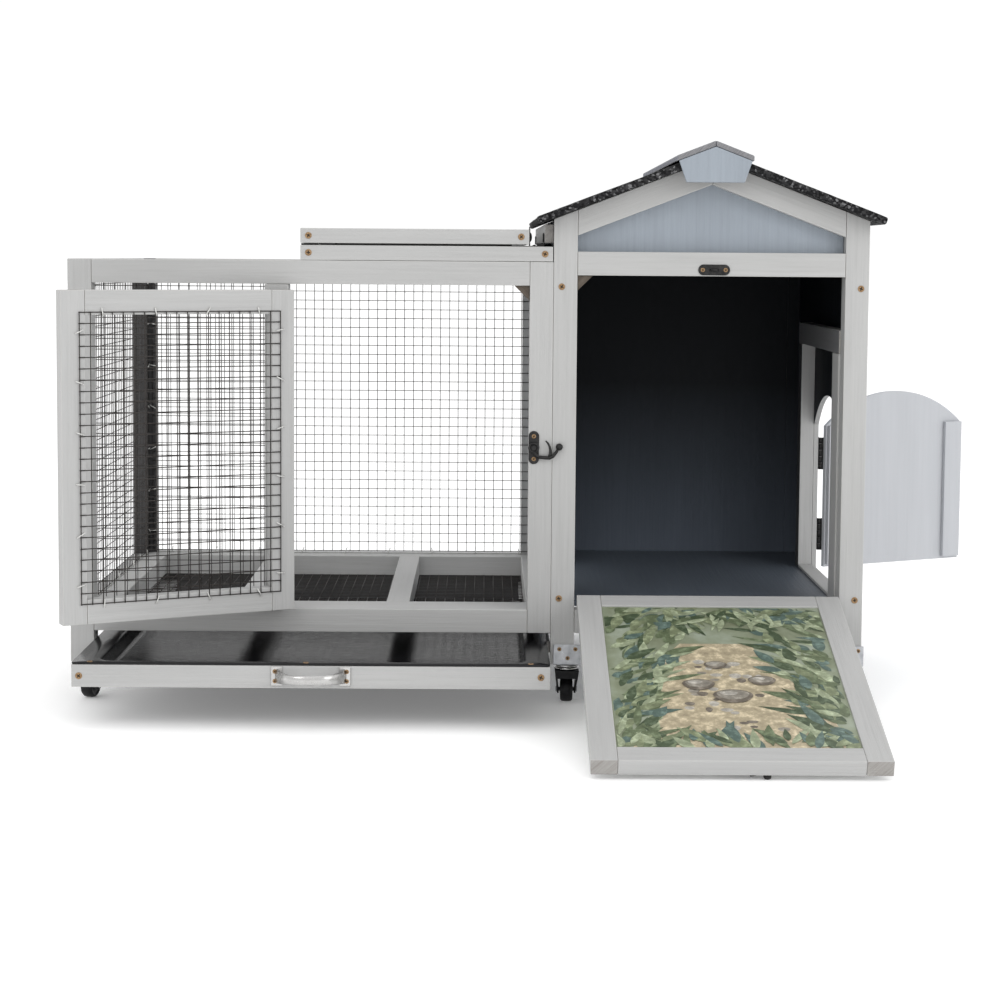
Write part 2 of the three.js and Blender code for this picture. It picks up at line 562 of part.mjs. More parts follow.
// Mesh door on the run, hinged on the middle post and swung open to the left
function buildMeshDoor() {
  const hinge = new THREE.Group();
  const pivotX = MIDDLE_POST_X + POST + DOOR_GAP / 2;
  const pivotY = -HINGE_OUT;
  hinge.name = 'mesh_door_pivot';
  hinge.position.set(pivotX, pivotY, 0);
  hinge.rotation.z = -MESH_DOOR_OPEN;
  hutch.add(hinge);
  const x0 = MIDDLE_POST_X + POST + DOOR_GAP - pivotX;
  const x1 = RUN_LENGTH - POST - DOOR_GAP - pivotX;
  const z0 = RAIL_TOP_Z + DOOR_GAP;
  const z1 = RUN_RAIL_Z - DOOR_TOP_GAP;
  const back = DOOR_THICKNESS - pivotY;
  add('mesh_door_frame', frameXZ(x0, x1, -pivotY, back, z0, z1, BATTEN), greyWood(), hinge);
  const meshY = back + CLEARANCE;
  const wireX0 = x0 + DOOR_WIRE_HINGE_INSET;
  const wireX1 = x1 - DOOR_WIRE_FREE_INSET;
  const wireZ0 = z0 + DOOR_WIRE_FOOT_INSET;
  const wireZ1 = z1 - DOOR_WIRE_TOP_INSET;
  const sheet = block(wireX0, wireX1, meshY, meshY + MESH_THICKNESS, wireZ0, wireZ1);
  add('mesh_door_mesh', sheet, wire(), hinge);
}

// Drop door of the house, hinged on the bottom rail and let down as a ramp
function buildDropDoor() {
  const hinge = new THREE.Group();
  const pivotY = -HINGE_OUT;
  const pivotZ = RAIL_TOP_Z + DROP_DOOR_GAP / 2;
  hinge.name = 'drop_door_pivot';
  hinge.position.set(0, pivotY, pivotZ);
  hinge.rotation.x = DROP_DOOR_OPEN;
  hutch.add(hinge);
  const x0 = HOUSE_X + POST + DOOR_GAP;
  const x1 = BODY_LENGTH - POST - DOOR_GAP;
  const z0 = RAIL_TOP_Z + DROP_DOOR_GAP - pivotZ;
  const z1 = HOUSE_TOP_RAIL_Z - BATTEN - DROP_DOOR_GAP - pivotZ;
  const front = -pivotY;
  const back = front + DOOR_THICKNESS;
  const w = DROP_DOOR_BATTEN;
  const frame = frameXZ(x0, x1, front, back, z0, z1, w);
  const rim = w - PICTURE_GROOVE;
  const slotFront = back - PICTURE_RECESS - PICTURE_THICKNESS - CLEARANCE;
  const slotBack = back - PICTURE_RECESS + CLEARANCE;
  const slot = block(x0 + rim, x1 - rim, slotFront, slotBack, z0 + rim, z1 - rim);
  add('drop_door_frame', cut(frame, [slot]), greyWood(), hinge);
  const edge = rim + CLEARANCE;
  const pictureY0 = slotFront + CLEARANCE;
  const pictureBlock = block(x0 + edge, x1 - edge, pictureY0, back - PICTURE_RECESS, z0 + edge, z1 - edge);
  add('drop_door_picture_panel', pictureBlock, picture(), hinge);

  // Its hook latch lies on the outer face of the free end's batten
  const spot = new THREE.Group();
  spot.name = 'drop_latch_pivot';
  spot.position.set((x0 + x1) / 2, front - CLEARANCE, z1 - DROP_LATCH_INSET);
  hinge.add(spot);
  const plate = new THREE.Group();
  plate.rotation.y = Math.PI / 2;
  spot.add(plate);
  add('drop_latch_plate', latchPlate(), blackSteel(), plate);
  const turn = new THREE.Group();
  turn.rotation.y = -DROP_LATCH_TURN;
  spot.add(turn);
  add('drop_latch_hook', latchHook(), blackSteel(), turn);
}

// Lid of the run: the right leaf lies shut and the left leaf is folded back over it
function buildLid() {
  const z0 = RUN_TOP_Z + LID_GAP;
  const z1 = z0 + LEAF_THICKNESS;
  const upperZ0 = z1 + LEAF_GAP;
  const x0 = FOLD_X + LEAF_EDGE_GAP;
  const rightX1 = RUN_LENGTH - LEAF_EDGE_GAP;
  add('lid_right_frame', frameXY(x0, rightX1, 0, DEPTH, z0, z1, BATTEN), greyWood());
  const leftX1 = x0 + LEFT_LEAF_LENGTH;
  const upperZ1 = upperZ0 + LEAF_THICKNESS;
  add('lid_left_frame', frameXY(x0, leftX1, 0, DEPTH, upperZ0, upperZ1, BATTEN), greyWood());
  const inset = LID_WIRE_INSET;
  const panels = [
    ['lid_right_mesh', x0 + inset, rightX1 - inset, z1 + CLEARANCE],
    ['lid_left_mesh', x0 + inset, leftX1 - inset, upperZ0 - CLEARANCE - MESH_THICKNESS / 2],
  ];
  for (const [name, left, right, z] of panels) {
    add(name, block(left, right, inset, DEPTH - inset, z, z + MESH_THICKNESS / 2), wire());
  }
}

// Tray: a wooden front with a bow handle, a moulded liner behind it, and two runners that carry it
function buildTray() {
  const x0 = POST + TRAY_LEFT_GAP;
  const x1 = RUN_LENGTH - TRAY_RIGHT_GAP;
  const z0 = POST_FOOT_Z;
  const panelTop = z0 + TRAY_PANEL_HEIGHT;
  const frontY = -TRAY_OUT;
  const panelY1 = frontY + TRAY_PANEL_THICKNESS;
  add('tray_front_panel', block(x0, x1, frontY, panelY1, z0, panelTop - LINER_WALL - CLEARANCE), greyWood());

  // Liner: a flange on the panel and on the runners, around a shallow basin
  const rimTop = panelTop;
  const rimZ = rimTop - LINER_WALL;
  const rimY1 = frontY + DEPTH - TRAY_BACK_SPACE;
  const rim = block(x0, x1, frontY, rimY1, rimZ, rimTop);
  const basinX0 = x0 + LINER_FLANGE;
  const basinX1 = x1 - LINER_FLANGE;
  const basinY0 = panelY1 + LINER_FRONT_STEP;
  const basinY1 = rimY1 - LINER_BACK_FLANGE;
  const basinZ = z0 + LINER_GROUND;
  const basin = block(basinX0, basinX1, basinY0, basinY1, basinZ, rimTop);
  const wall = LINER_WALL;
  const hollowTop = rimTop + CUT_OVER;
  const hollowY1 = basinY1 - wall;
  const hollow = block(basinX0 + wall, basinX1 - wall, basinY0 + wall, hollowY1, basinZ + wall, hollowTop);
  add('tray_liner', cut(join([rim, basin]), [hollow]), liner());

  // Handle: a bar bowed out between two screw plates, one body
  const middle = (x0 + x1) / 2;
  const handleZ = z0 + TRAY_PANEL_HEIGHT / 2;
  const handleY = frontY - CLEARANCE;
  const half = HANDLE_LENGTH / 2;
  const plateY0 = handleY - HANDLE_PLATE_THICKNESS;
  const plateHalf = (TRAY_PANEL_HEIGHT - HANDLE_PLATE_INSET) / 2;
  const plates = [middle - half, middle + half - HANDLE_FOOT].map((x) => (
    block(x, x + HANDLE_FOOT, plateY0, handleY, handleZ - plateHalf, handleZ + plateHalf)
  ));
  const path = new THREE.CatmullRomCurve3([
    new THREE.Vector3(-half + HANDLE_FOOT / 2, 0, 0),
    new THREE.Vector3(-half + HANDLE_FOOT, -HANDLE_REACH * 0.75, 0),
    new THREE.Vector3(0, -HANDLE_REACH, 0),
    new THREE.Vector3(half - HANDLE_FOOT, -HANDLE_REACH * 0.75, 0),
    new THREE.Vector3(half - HANDLE_FOOT / 2, 0, 0),
  ]);
  const section = new THREE.Shape();
  section.absellipse(0, 0, HANDLE_BAR / 2, HANDLE_BAR / 2, 0, Math.PI * 2);
  const sweep = { steps: 20, extrudePath: path, bevelEnabled: false, curveSegments: 8 };
  const bow = new THREE.ExtrudeGeometry(section, sweep);
  bow.translate(middle, handleY - HANDLE_PLATE_THICKNESS, handleZ);
  add('tray_handle', join([...plates, bow]), chrome());

  // Runners: battens along the depth under the liner's flange, and the board across the back that joins them
  const runnerTop = rimZ - CLEARANCE;
  const runnerFoot = runnerTop - RUNNER_HEIGHT;
  const runnerY0 = POST / 2;
  const runnerY1 = BACK_Y + RUNNER_BACK_BOARD / 2;
  const carrierX0 = POST + CLEARANCE;
  const carrierX1 = HOUSE_X - CLEARANCE;
  const boardTop = RAIL_FOOT_Z - CLEARANCE;
  const leftRunner = block(carrierX0, basinX0 - RUNNER_GAP, runnerY0, runnerY1, runnerFoot, runnerTop);
  const rightRunner = block(basinX1 + RUNNER_GAP, carrierX1, runnerY0, runnerY1, runnerFoot, runnerTop);
  const backBoard = block(carrierX0, carrierX1, BACK_Y, BACK_Y + RUNNER_BACK_BOARD, z0, boardTop);
  add('tray_runner_frame', join([leftRunner, rightRunner, backBoard]), darkWood());
}

// Casters: a crown and two cheeks on a swivel, with the axle across them, and a plastic wheel on it
function casterFork() {
  const half = WHEEL_WIDTH / 2 + CHEEK_GAP;
  const crownTop = POST_FOOT_Z - CLEARANCE;
  const crown = new THREE.CylinderGeometry(CROWN_RADIUS, CROWN_RADIUS, CROWN_THICKNESS, 24);
  crown.rotateX(Math.PI / 2).translate(0, 0, crownTop - CROWN_THICKNESS / 2);
  const cheekTop = crownTop - CROWN_THICKNESS / 2;
  const cheekFoot = WHEEL_RADIUS - CHEEK_FOOT_DROP;
  const cheekShape = [
    [-CHEEK_WIDTH / 2, cheekTop],
    [CHEEK_WIDTH / 2, cheekTop],
    [TRAIL + CHEEK_FOOT, cheekFoot],
    [TRAIL - CHEEK_FOOT, cheekFoot],
  ];
  const outline = new THREE.Shape(cheekShape.map(([y, z]) => new THREE.Vector2(y, z)).reverse());
  const cheeks = [-half - CHEEK_THICKNESS, half].map((x) => slabYZ(outline, x, x + CHEEK_THICKNESS));
  const axle = new THREE.CylinderGeometry(AXLE_RADIUS, AXLE_RADIUS, 2 * half + CHEEK_THICKNESS, 14);
  axle.rotateZ(Math.PI / 2).translate(0, TRAIL, WHEEL_RADIUS);
  return join([crown, ...cheeks, axle]);
}

function casterWheel() {
  const half = WHEEL_WIDTH / 2;
  const bore = AXLE_RADIUS + BORE_GAP;
  const rim = WHEEL_RADIUS - WHEEL_CHAMFER;
  const tread = half - WHEEL_CHAMFER;
  const profile = [
    [bore, -half],
    [rim, -half],
    [WHEEL_RADIUS, -tread],
    [WHEEL_RADIUS, tread],
    [rim, half],
    [bore, half],
    [bore, -half],
  ];
  const wheel = new THREE.LatheGeometry(profile.map(([r, y]) => new THREE.Vector2(r, y)), WHEEL_FACETS);
  return wheel.rotateZ(Math.PI / 2);
}

function buildCasters() {
  const houseLeft = HOUSE_X + POST / 2 + CASTER_INSET;
  const houseRight = BODY_LENGTH - POST / 2;
  const front = POST / 2 - CASTER_INSET;
  const back = DEPTH - POST / 2;
  const spots = [
    ['run_front', POST / 2 + RUN_CASTER_INSET, POST / 2 + RUN_CASTER_INSET, -15],
    ['run_back', POST / 2, back - CASTER_INSET, -150],
    ['house_front_left', houseLeft, front, 0],
    ['house_back_left', houseLeft, back, 160],
    ['house_front_right', houseRight, front, 15],
    ['house_back_right', houseRight, back, -170],
  ];
  for (const [name, x, y, angle] of spots) {
    const swivel = new THREE.Group();
    swivel.name = `${name}_swivel`;
    swivel.position.set(x, y, 0);
    swivel.rotation.z = THREE.MathUtils.degToRad(angle);
    hutch.add(swivel);
    add(`${name}_caster_fork`, casterFork(), chrome(), swivel);
    const axle = new THREE.Group();
    axle.name = `${name}_axle`;
    axle.position.set(0, TRAIL, WHEEL_RADIUS);
    swivel.add(axle);
    add(`${name}_caster_wheel`, casterWheel(), wheelPlastic(), axle);
  }
}

buildRun();
buildHouse();
buildRoof();
buildRunLatch();
buildMeshDoor();
buildDropDoor();
buildLid();
buildTray();
buildCasters();

// The origin goes to the middle of the whole object's footprint, on the ground
const whole = new THREE.Box3().setFromObject(hutch, true);
hutch.position.set(-(whole.min.x + whole.max.x) / 2, -(whole.min.y + whole.max.y) / 2, -whole.min.z);

export default hutch;
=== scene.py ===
import json
import math
import random

import bmesh
import bpy
from mathutils import Matrix, Vector, noise
from mathutils.geometry import tessellate_polygon


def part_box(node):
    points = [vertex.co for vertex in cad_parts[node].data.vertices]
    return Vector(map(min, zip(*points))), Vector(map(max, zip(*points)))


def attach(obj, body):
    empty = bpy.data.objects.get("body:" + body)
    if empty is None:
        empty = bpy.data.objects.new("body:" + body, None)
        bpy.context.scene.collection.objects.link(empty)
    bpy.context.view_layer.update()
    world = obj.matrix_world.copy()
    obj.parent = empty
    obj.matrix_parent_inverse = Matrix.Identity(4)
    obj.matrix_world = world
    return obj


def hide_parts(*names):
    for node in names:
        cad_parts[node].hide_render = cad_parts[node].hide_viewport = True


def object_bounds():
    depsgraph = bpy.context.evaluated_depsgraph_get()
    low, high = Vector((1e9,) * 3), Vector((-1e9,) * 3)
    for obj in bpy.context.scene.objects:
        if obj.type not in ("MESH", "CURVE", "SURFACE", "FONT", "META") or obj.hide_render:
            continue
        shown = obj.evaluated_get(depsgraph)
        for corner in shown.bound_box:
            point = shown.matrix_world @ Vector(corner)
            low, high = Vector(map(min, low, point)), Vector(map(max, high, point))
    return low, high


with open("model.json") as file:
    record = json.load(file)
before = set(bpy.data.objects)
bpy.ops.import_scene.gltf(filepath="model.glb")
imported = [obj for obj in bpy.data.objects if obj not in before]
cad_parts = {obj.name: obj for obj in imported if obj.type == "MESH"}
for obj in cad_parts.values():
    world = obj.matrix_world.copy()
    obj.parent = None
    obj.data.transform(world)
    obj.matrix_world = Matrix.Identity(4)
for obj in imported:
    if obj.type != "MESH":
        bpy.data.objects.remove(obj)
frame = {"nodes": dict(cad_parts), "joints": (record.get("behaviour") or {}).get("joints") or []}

cad_low, cad_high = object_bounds()

# --------------------------------------
# Studio: a pale floor, soft white light from above and the front, and one camera low in front.
# --------------------------------------
CAMERA_FROM_POST = Vector((0.4948, -2.5589, 0.5344))
CAMERA_PITCH = math.radians(4.75)
CAMERA_YAW = math.radians(-0.38)
CAMERA_ROLL = math.radians(0.42)
CAMERA_LENS = 77.8
CAMERA_RISE = -0.0638

scene = bpy.context.scene
camera_data = bpy.data.cameras.new("camera")
camera_data.lens = CAMERA_LENS
camera_data.sensor_width = 36.0
camera_data.shift_y = CAMERA_RISE
camera_data.clip_end = 100.0
camera = bpy.data.objects.new("camera", camera_data)
turn = Matrix.Rotation(CAMERA_YAW, 4, "Z") @ Matrix.Rotation(math.pi / 2 - CAMERA_PITCH, 4, "X")
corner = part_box("run_front_left_post")[0]
place = Vector((corner.x, corner.y, 0.0)) + CAMERA_FROM_POST
camera.matrix_world = Matrix.Translation(place) @ turn @ Matrix.Rotation(CAMERA_ROLL, 4, "Z")
scene.collection.objects.link(camera)
scene.camera = camera
scene.view_settings.view_transform = "Standard"
scene.view_settings.look = "None"


def principled(name, color, roughness, metallic=0.0, coat=0.0):
    """A material with one Principled BSDF; returns the material, its node tree and that node."""
    material = bpy.data.materials.new(name)
    material.use_nodes = True
    tree = material.node_tree
    shader = tree.nodes["Principled BSDF"]
    shader.inputs["Base Color"].default_value = (*color, 1.0)
    shader.inputs["Roughness"].default_value = roughness
    shader.inputs["Metallic"].default_value = metallic
    shader.inputs["Coat Weight"].default_value = coat
    material.diffuse_color = (*color, 1.0)
    return material, tree, shader


def mesh_object(name, bm, materials):
    """Turns a bmesh into a linked object with these materials."""
    mesh = bpy.data.meshes.new(name)
    bm.to_mesh(mesh)
    bm.free()
    for material in materials:
        mesh.materials.append(material)
    piece = bpy.data.objects.new(name, mesh)
    scene.collection.objects.link(piece)
    return piece


floor_paint, _, floor_shader = principled("studio_floor_paint", (0.97, 0.97, 0.97), 0.8)
floor_shader.inputs["Emission Color"].default_value = (1.0, 1.0, 1.0, 1.0)
floor_shader.inputs["Emission Strength"].default_value = 0.16
floor_mesh = bmesh.new()
bmesh.ops.create_grid(floor_mesh, x_segments=2, y_segments=2, size=40.0)
studio_floor = mesh_object("studio_floor", floor_mesh, [floor_paint])
studio_floor.location.z = cad_low.z

world = bpy.data.worlds.new("studio_world")
world.use_nodes = True
world.node_tree.nodes["Background"].inputs["Color"].default_value = (1.0, 1.0, 1.0, 1.0)
world.node_tree.nodes["Background"].inputs["Strength"].default_value = 1.03
scene.world = world


def softbox(name, place, aim, width, height, power):
    """An area light at place that faces aim."""
    data = bpy.data.lights.new(name, "AREA")
    data.shape = "RECTANGLE"
    data.size = width
    data.size_y = height
    data.energy = power
    lamp = bpy.data.objects.new(name, data)
    lamp.location = place
    lamp.rotation_euler = (Vector(aim) - Vector(place)).to_track_quat("-Z", "Y").to_euler()
    scene.collection.objects.link(lamp)


softbox("key_softbox", (-1.6, -2.4, 2.6), (0.0, 0.0, 0.3), 1.6, 1.6, 14.0)
softbox("fill_softbox", (2.2, -2.0, 1.6), (0.0, 0.0, 0.3), 1.8, 1.8, 21.0)
softbox("top_softbox", (0.0, 0.6, 2.8), (0.0, 0.2, 0.0), 2.4, 2.4, 12.0)

# --------------------------------------
# Run posts and rails: planed fir battens with slightly eased edges, brushed with pale grey paint
# that lets the grain show. Posts stand full height and the rails butt against them.
# --------------------------------------
EDGE_EASE = 0.0009
EASE_PROFILE = 0.6
SHARP_CORNER = math.radians(20)
BATTEN = 0.028


def node_group(name, inputs, outputs):
    """An empty shader node group with named sockets; returns the tree and its two end nodes."""
    tree = bpy.data.node_groups.new(name, "ShaderNodeTree")
    for socket, kind, value in inputs:
        made = tree.interface.new_socket(socket, in_out="INPUT", socket_type=kind)
        if value is not None:
            made.default_value = value
    for socket, kind in outputs:
        tree.interface.new_socket(socket, in_out="OUTPUT", socket_type=kind)
    return tree, tree.nodes.new("NodeGroupInput"), tree.nodes.new("NodeGroupOutput")


def math_node(tree, operation, first, second):
    """A Math node whose two inputs are sockets or numbers; returns its output."""
    node = tree.nodes.new("ShaderNodeMath")
    node.operation = operation
    for index, value in enumerate((first, second)):
        if isinstance(value, (int, float)):
            node.inputs[index].default_value = value
        else:
            tree.links.new(value, node.inputs[index])
    return node.outputs[0]


def noise_node(tree, vector, scale, detail=3.0, rough=0.5):
    """A Noise texture on a vector; returns its factor."""
    node = tree.nodes.new("ShaderNodeTexNoise")
    node.inputs["Scale"].default_value = scale
    node.inputs["Detail"].default_value = detail
    node.inputs["Roughness"].default_value = rough
    tree.links.new(vector, node.inputs["Vector"])
    return node.outputs["Fac"]


def stretched(tree, vector, scale):
    """The vector multiplied by a scale for each axis."""
    node = tree.nodes.new("ShaderNodeVectorMath")
    node.operation = "MULTIPLY"
    node.inputs[1].default_value = scale
    tree.links.new(vector, node.inputs[0])
    return node.outputs[0]


def ramp(tree, factor, stops):
    """A colour ramp over (position, colour) stops; returns its colour."""
    node = tree.nodes.new("ShaderNodeValToRGB")
    elements = node.color_ramp.elements
    while len(elements) < len(stops):
        elements.new(0.5)
    for element, (position, color) in zip(elements, stops):
        element.position = position
        element.color = (*color, 1.0)
    tree.links.new(factor, node.inputs["Fac"])
    return node.outputs["Color"]


def mixed(tree, factor, first, second, blend="MIX"):
    """Two colours mixed by a factor; the factor and the second colour are sockets or plain values."""
    node = tree.nodes.new("ShaderNodeMix")
    node.data_type = "RGBA"
    node.blend_type = blend
    tree.links.new(first, node.inputs["A"])
    for socket, value in (("Factor", factor), ("B", second)):
        if isinstance(value, (float, tuple)):
            node.inputs[socket].default_value = value
        else:
            tree.links.new(value, node.inputs[socket])
    return node.outputs["Result"]


def relief(tree, shader, height, strength, distance):
    """Raises a material's surface by a height socket."""
    node = tree.nodes.new("ShaderNodeBump")
    node.inputs["Strength"].default_value = strength
    node.inputs["Distance"].default_value = distance
    tree.links.new(height, node.inputs["Height"])
    tree.links.new(node.outputs["Normal"], shader.inputs["Normal"])


# Grain along the first axis of the vector, in metres: long streaks, pores and slow patches.
grain_group, grain_in, grain_out = node_group(
    "wood_grain",
    [("Vector", "NodeSocketVector", None), ("Streak Scale", "NodeSocketFloat", 1.0)],
    [("Streaks", "NodeSocketFloat"), ("Patches", "NodeSocketFloat"), ("Height", "NodeSocketFloat")],
)
grain_scale = grain_group.nodes.new("ShaderNodeVectorMath")
grain_scale.operation = "SCALE"
grain_group.links.new(grain_in.outputs["Vector"], grain_scale.inputs[0])
grain_group.links.new(grain_in.outputs["Streak Scale"], grain_scale.inputs["Scale"])
warp = noise_node(grain_group, stretched(grain_group, grain_scale.outputs[0], (5.0, 30.0, 30.0)), 1.0, 2.0)
broad = stretched(grain_group, grain_scale.outputs[0], (7.0, 260.0, 260.0))
fine = stretched(grain_group, grain_scale.outputs[0], (30.0, 1400.0, 1400.0))
broad_streaks = noise_node(grain_group, broad, 1.0, 4.0, 0.6)
fine_streaks = noise_node(grain_group, fine, 1.0, 3.0, 0.6)
streaks = math_node(grain_group, "ADD", math_node(grain_group, "MULTIPLY", broad_streaks, 0.65),
                    math_node(grain_group, "MULTIPLY", fine_streaks, 0.35))
grain_group.links.new(streaks, grain_out.inputs["Streaks"])
grain_group.links.new(warp, grain_out.inputs["Patches"])
grain_group.links.new(math_node(grain_group, "MULTIPLY", streaks, 0.0011), grain_out.inputs["Height"])


def texture_vector(tree, source, swap=None):
    """Texture coordinates in metres: the piece's own grain map, or its place with axes swapped."""
    coordinates = tree.nodes.new("ShaderNodeTexCoord")
    if swap is None:
        return coordinates.outputs[source]
    split = tree.nodes.new("ShaderNodeSeparateXYZ")
    tree.links.new(coordinates.outputs[source], split.inputs[0])
    joined = tree.nodes.new("ShaderNodeCombineXYZ")
    for index, axis in enumerate(swap):
        tree.links.new(split.outputs[axis], joined.inputs[index])
    return joined.outputs[0]


def painted_wood(name, dark, mid, light, roughness, worn=None, source="UV", swap=None, streak_scale=1.0,
                 bump=0.5, shade=None):
    """Paint brushed on wood: grain in three tones, worn edges, slight relief; shade darkens it by height as
    painted shade.
    """
    material, tree, shader = principled(name, mid, roughness)
    grain = tree.nodes.new("ShaderNodeGroup")
    grain.node_tree = grain_group
    grain.inputs["Streak Scale"].default_value = streak_scale
    tree.links.new(texture_vector(tree, source, swap), grain.inputs["Vector"])
    tones = ramp(tree, grain.outputs["Streaks"], [(0.30, dark), (0.47, mid), (0.66, light)])
    patches = ramp(tree, grain.outputs["Patches"], [(0.3, (0.93, 0.93, 0.93)), (0.7, (1.0, 1.0, 1.0))])
    color = mixed(tree, 1.0, tones, patches, "MULTIPLY")
    if worn is not None:
        wear = tree.nodes.new("ShaderNodeAttribute")
        wear.attribute_name = "wear"
        patchy = math_node(tree, "MULTIPLY", wear.outputs["Fac"], grain.outputs["Patches"])
        color = mixed(tree, patchy, color, (*worn, 1.0))
    if shade is not None:
        # Painted shade: the colour is multiplied by a ramp over height
        height = tree.nodes.new("ShaderNodeSeparateXYZ")
        tree.links.new(texture_vector(tree, "Object"), height.inputs[0])
        color = mixed(tree, 1.0, color, ramp(tree, height.outputs["Z"], shade), "MULTIPLY")
        shader.inputs["Specular IOR Level"].default_value = 0.12
    tree.links.new(color, shader.inputs["Base Color"])
    drift = math_node(tree, "MULTIPLY", grain.outputs["Streaks"], 0.22)
    rough = math_node(tree, "ADD", drift, roughness - 0.11)
    tree.links.new(rough, shader.inputs["Roughness"])
    relief(tree, shader, grain.outputs["Height"], bump, 1.0)
    return material


GREY = ((0.378, 0.377, 0.374), (0.416, 0.416, 0.412), (0.442, 0.442, 0.438))
grey_wood = painted_wood("grey_painted_wood", *GREY, 0.55, worn=(0.50, 0.50, 0.48))
END_GREY = ((0.21, 0.195, 0.18), (0.31, 0.295, 0.28), (0.39, 0.385, 0.37))
grey_end_grain = painted_wood("grey_painted_end_grain", *END_GREY, 0.8, streak_scale=2.5, bump=1.0)
WOOD = [grey_wood, grey_end_grain]


def add_piece(name, bm, materials, body, slot, covers=(), place=None):
    """Makes a bmesh, moved to its place, a piece that rides on a body and replaces the nodes it covers."""
    if place is not None:
        bmesh.ops.transform(bm, matrix=place, verts=bm.verts)
    piece = mesh_object(name, bm, materials)
    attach(piece, body)
    if covers:
        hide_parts(*covers)
    return piece


def solid_piece(name, bm, material, *rest, **options):
    """A piece of one finish, with all its faces turned outward."""
    bmesh.ops.recalc_face_normals(bm, faces=bm.faces)
    return add_piece(name, bm, [material], *rest, **options)


def board(name, outline, thickness, grain, body, slot, materials=None, covers=(), place=None, ease=EDGE_EASE):
    """A flat piece cut to an outline and a thickness vector, with eased edges and a grain map in metres."""
    materials = materials or WOOD
    grain = Vector(grain).normalized()
    shift = random.Random(name).uniform(0.0, 3.0)
    bm = bmesh.new()
    face = bm.faces.new([bm.verts.new(point) for point in outline])
    made = bmesh.ops.extrude_face_region(bm, geom=[face])
    far_face = [v for v in made["geom"] if isinstance(v, bmesh.types.BMVert)]
    bmesh.ops.translate(bm, vec=thickness, verts=far_face)
    bmesh.ops.recalc_face_normals(bm, faces=bm.faces)
    sharp = [e for e in bm.edges if e.calc_face_angle(0.0) > SHARP_CORNER]
    bmesh.ops.bevel(bm, geom=sharp, offset=ease, segments=2, profile=EASE_PROFILE, affect="EDGES",
                    clamp_overlap=True)
    uv = bm.loops.layers.uv.new("grain")
    wear = bm.faces.layers.float.new("wear")
    wide = ease * 1.6
    for f in bm.faces:
        narrow = min(e.calc_length() for e in f.edges) < wide and f.calc_area() < wide * 0.9
        f[wear] = 0.75 if narrow else 0.0
        if abs(f.normal.dot(grain)) > 0.8:
            across = grain.orthogonal().normalized()
            up = grain.cross(across)
            f.material_index = 1 if len(materials) > 1 else 0
        else:
            across = grain
            up = f.normal.cross(grain).normalized()
        for loop in f.loops:
            loop[uv].uv = (loop.vert.co.dot(across) + shift, loop.vert.co.dot(up) + shift)
    return add_piece(name, bm, materials, body, slot, covers, place)


def upright(name, outline, low, high, grain, *finish, **options):
    """A board whose outline of (x, z) points stands in the wall from low.y to high.y."""
    corners = [(x, low.y, z) for x, z in outline]
    return board(name, corners, (0.0, high.y - low.y, 0.0), grain, *finish, **options)


def batten(name, low, high, body="hutch", slot="grey_painted_wood", covers=(), place=None, materials=None):
    """A straight batten from its low to its high corner, with the grain along its longest side."""
    size = [high[i] - low[i] for i in range(3)]
    grain = [1.0 if i == size.index(max(size)) else 0.0 for i in range(3)]
    footprint = ((low[0], low[1]), (high[0], low[1]), (high[0], high[1]), (low[0], high[1]))
    corners = [(x, y, low[2]) for x, y in footprint]
    return board(name, corners, (0.0, 0.0, size[2]), grain, body, slot, materials, covers, place)


for node in ("run_front_left_post", "run_front_middle_post", "run_front_right_post", "run_front_top_rail",
             "run_front_bottom_rail", "lid_hinge_board"):
    low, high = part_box(node)
    batten(node + "_wood", low, high, covers=[node])

# --------------------------------------
# Run frames: the back and left walls and the floor are frames of four or more battens, glued and
# pocket-screwed at butt joints. Stiles run through and rails fit between them.
# --------------------------------------
JOINT_GAP = 0.0002
# Painted shade: a near black finish for battens in deep shade, in the run's back left corner, at the back of
# the tray space and inside the house's right wall
SHADE_DARK = ((0.030, 0.030, 0.031), (0.045, 0.045, 0.047), (0.07, 0.07, 0.072))
shade_dark_wood = painted_wood("dark_stained_batten", *SHADE_DARK, 0.6)


def wall_frame(name, low, high, across, body, covers, place=None, width=BATTEN, shaded_stile=None):
    """Four battens around a window, rails along the axis across; the stile picked by shaded_stile is painted
    near black as shade.
    """
    for kind, fixed, shortened in (("stile", across, 0.0), ("rail", 2, width + JOINT_GAP)):
        for side in (0, 1):
            a, b = list(low), list(high)
            if side == 0:
                b[fixed] = low[fixed] + width
            else:
                a[fixed] = high[fixed] - width
            a[across] += shortened
            b[across] -= shortened
            dark = kind == "stile" and side == shaded_stile
            first = kind == "stile" and side == 0
            batten(f"{name}_{kind}_{side}", a, b, body, covers=covers if first else (), place=place,
                   materials=[shade_dark_wood] if dark else None)


back_low, back_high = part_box("run_back_frame")
rail_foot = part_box("run_front_bottom_rail")[0].z
# Painted shade: the stiles in the back left corner, and the back leg under them, are coloured near black
wall_frame("run_back_frame_wood", (back_low.x, back_low.y, rail_foot), back_high, 0, "hutch",
           ["run_back_frame"], shaded_stile=0)
batten("run_back_leg", back_low, (back_low.x + BATTEN, back_high.y, rail_foot - JOINT_GAP),
       materials=[shade_dark_wood])
left_low, left_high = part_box("run_left_frame")
wall_frame("run_left_frame_wood", left_low, left_high, 1, "hutch", ["run_left_frame"], shaded_stile=1)

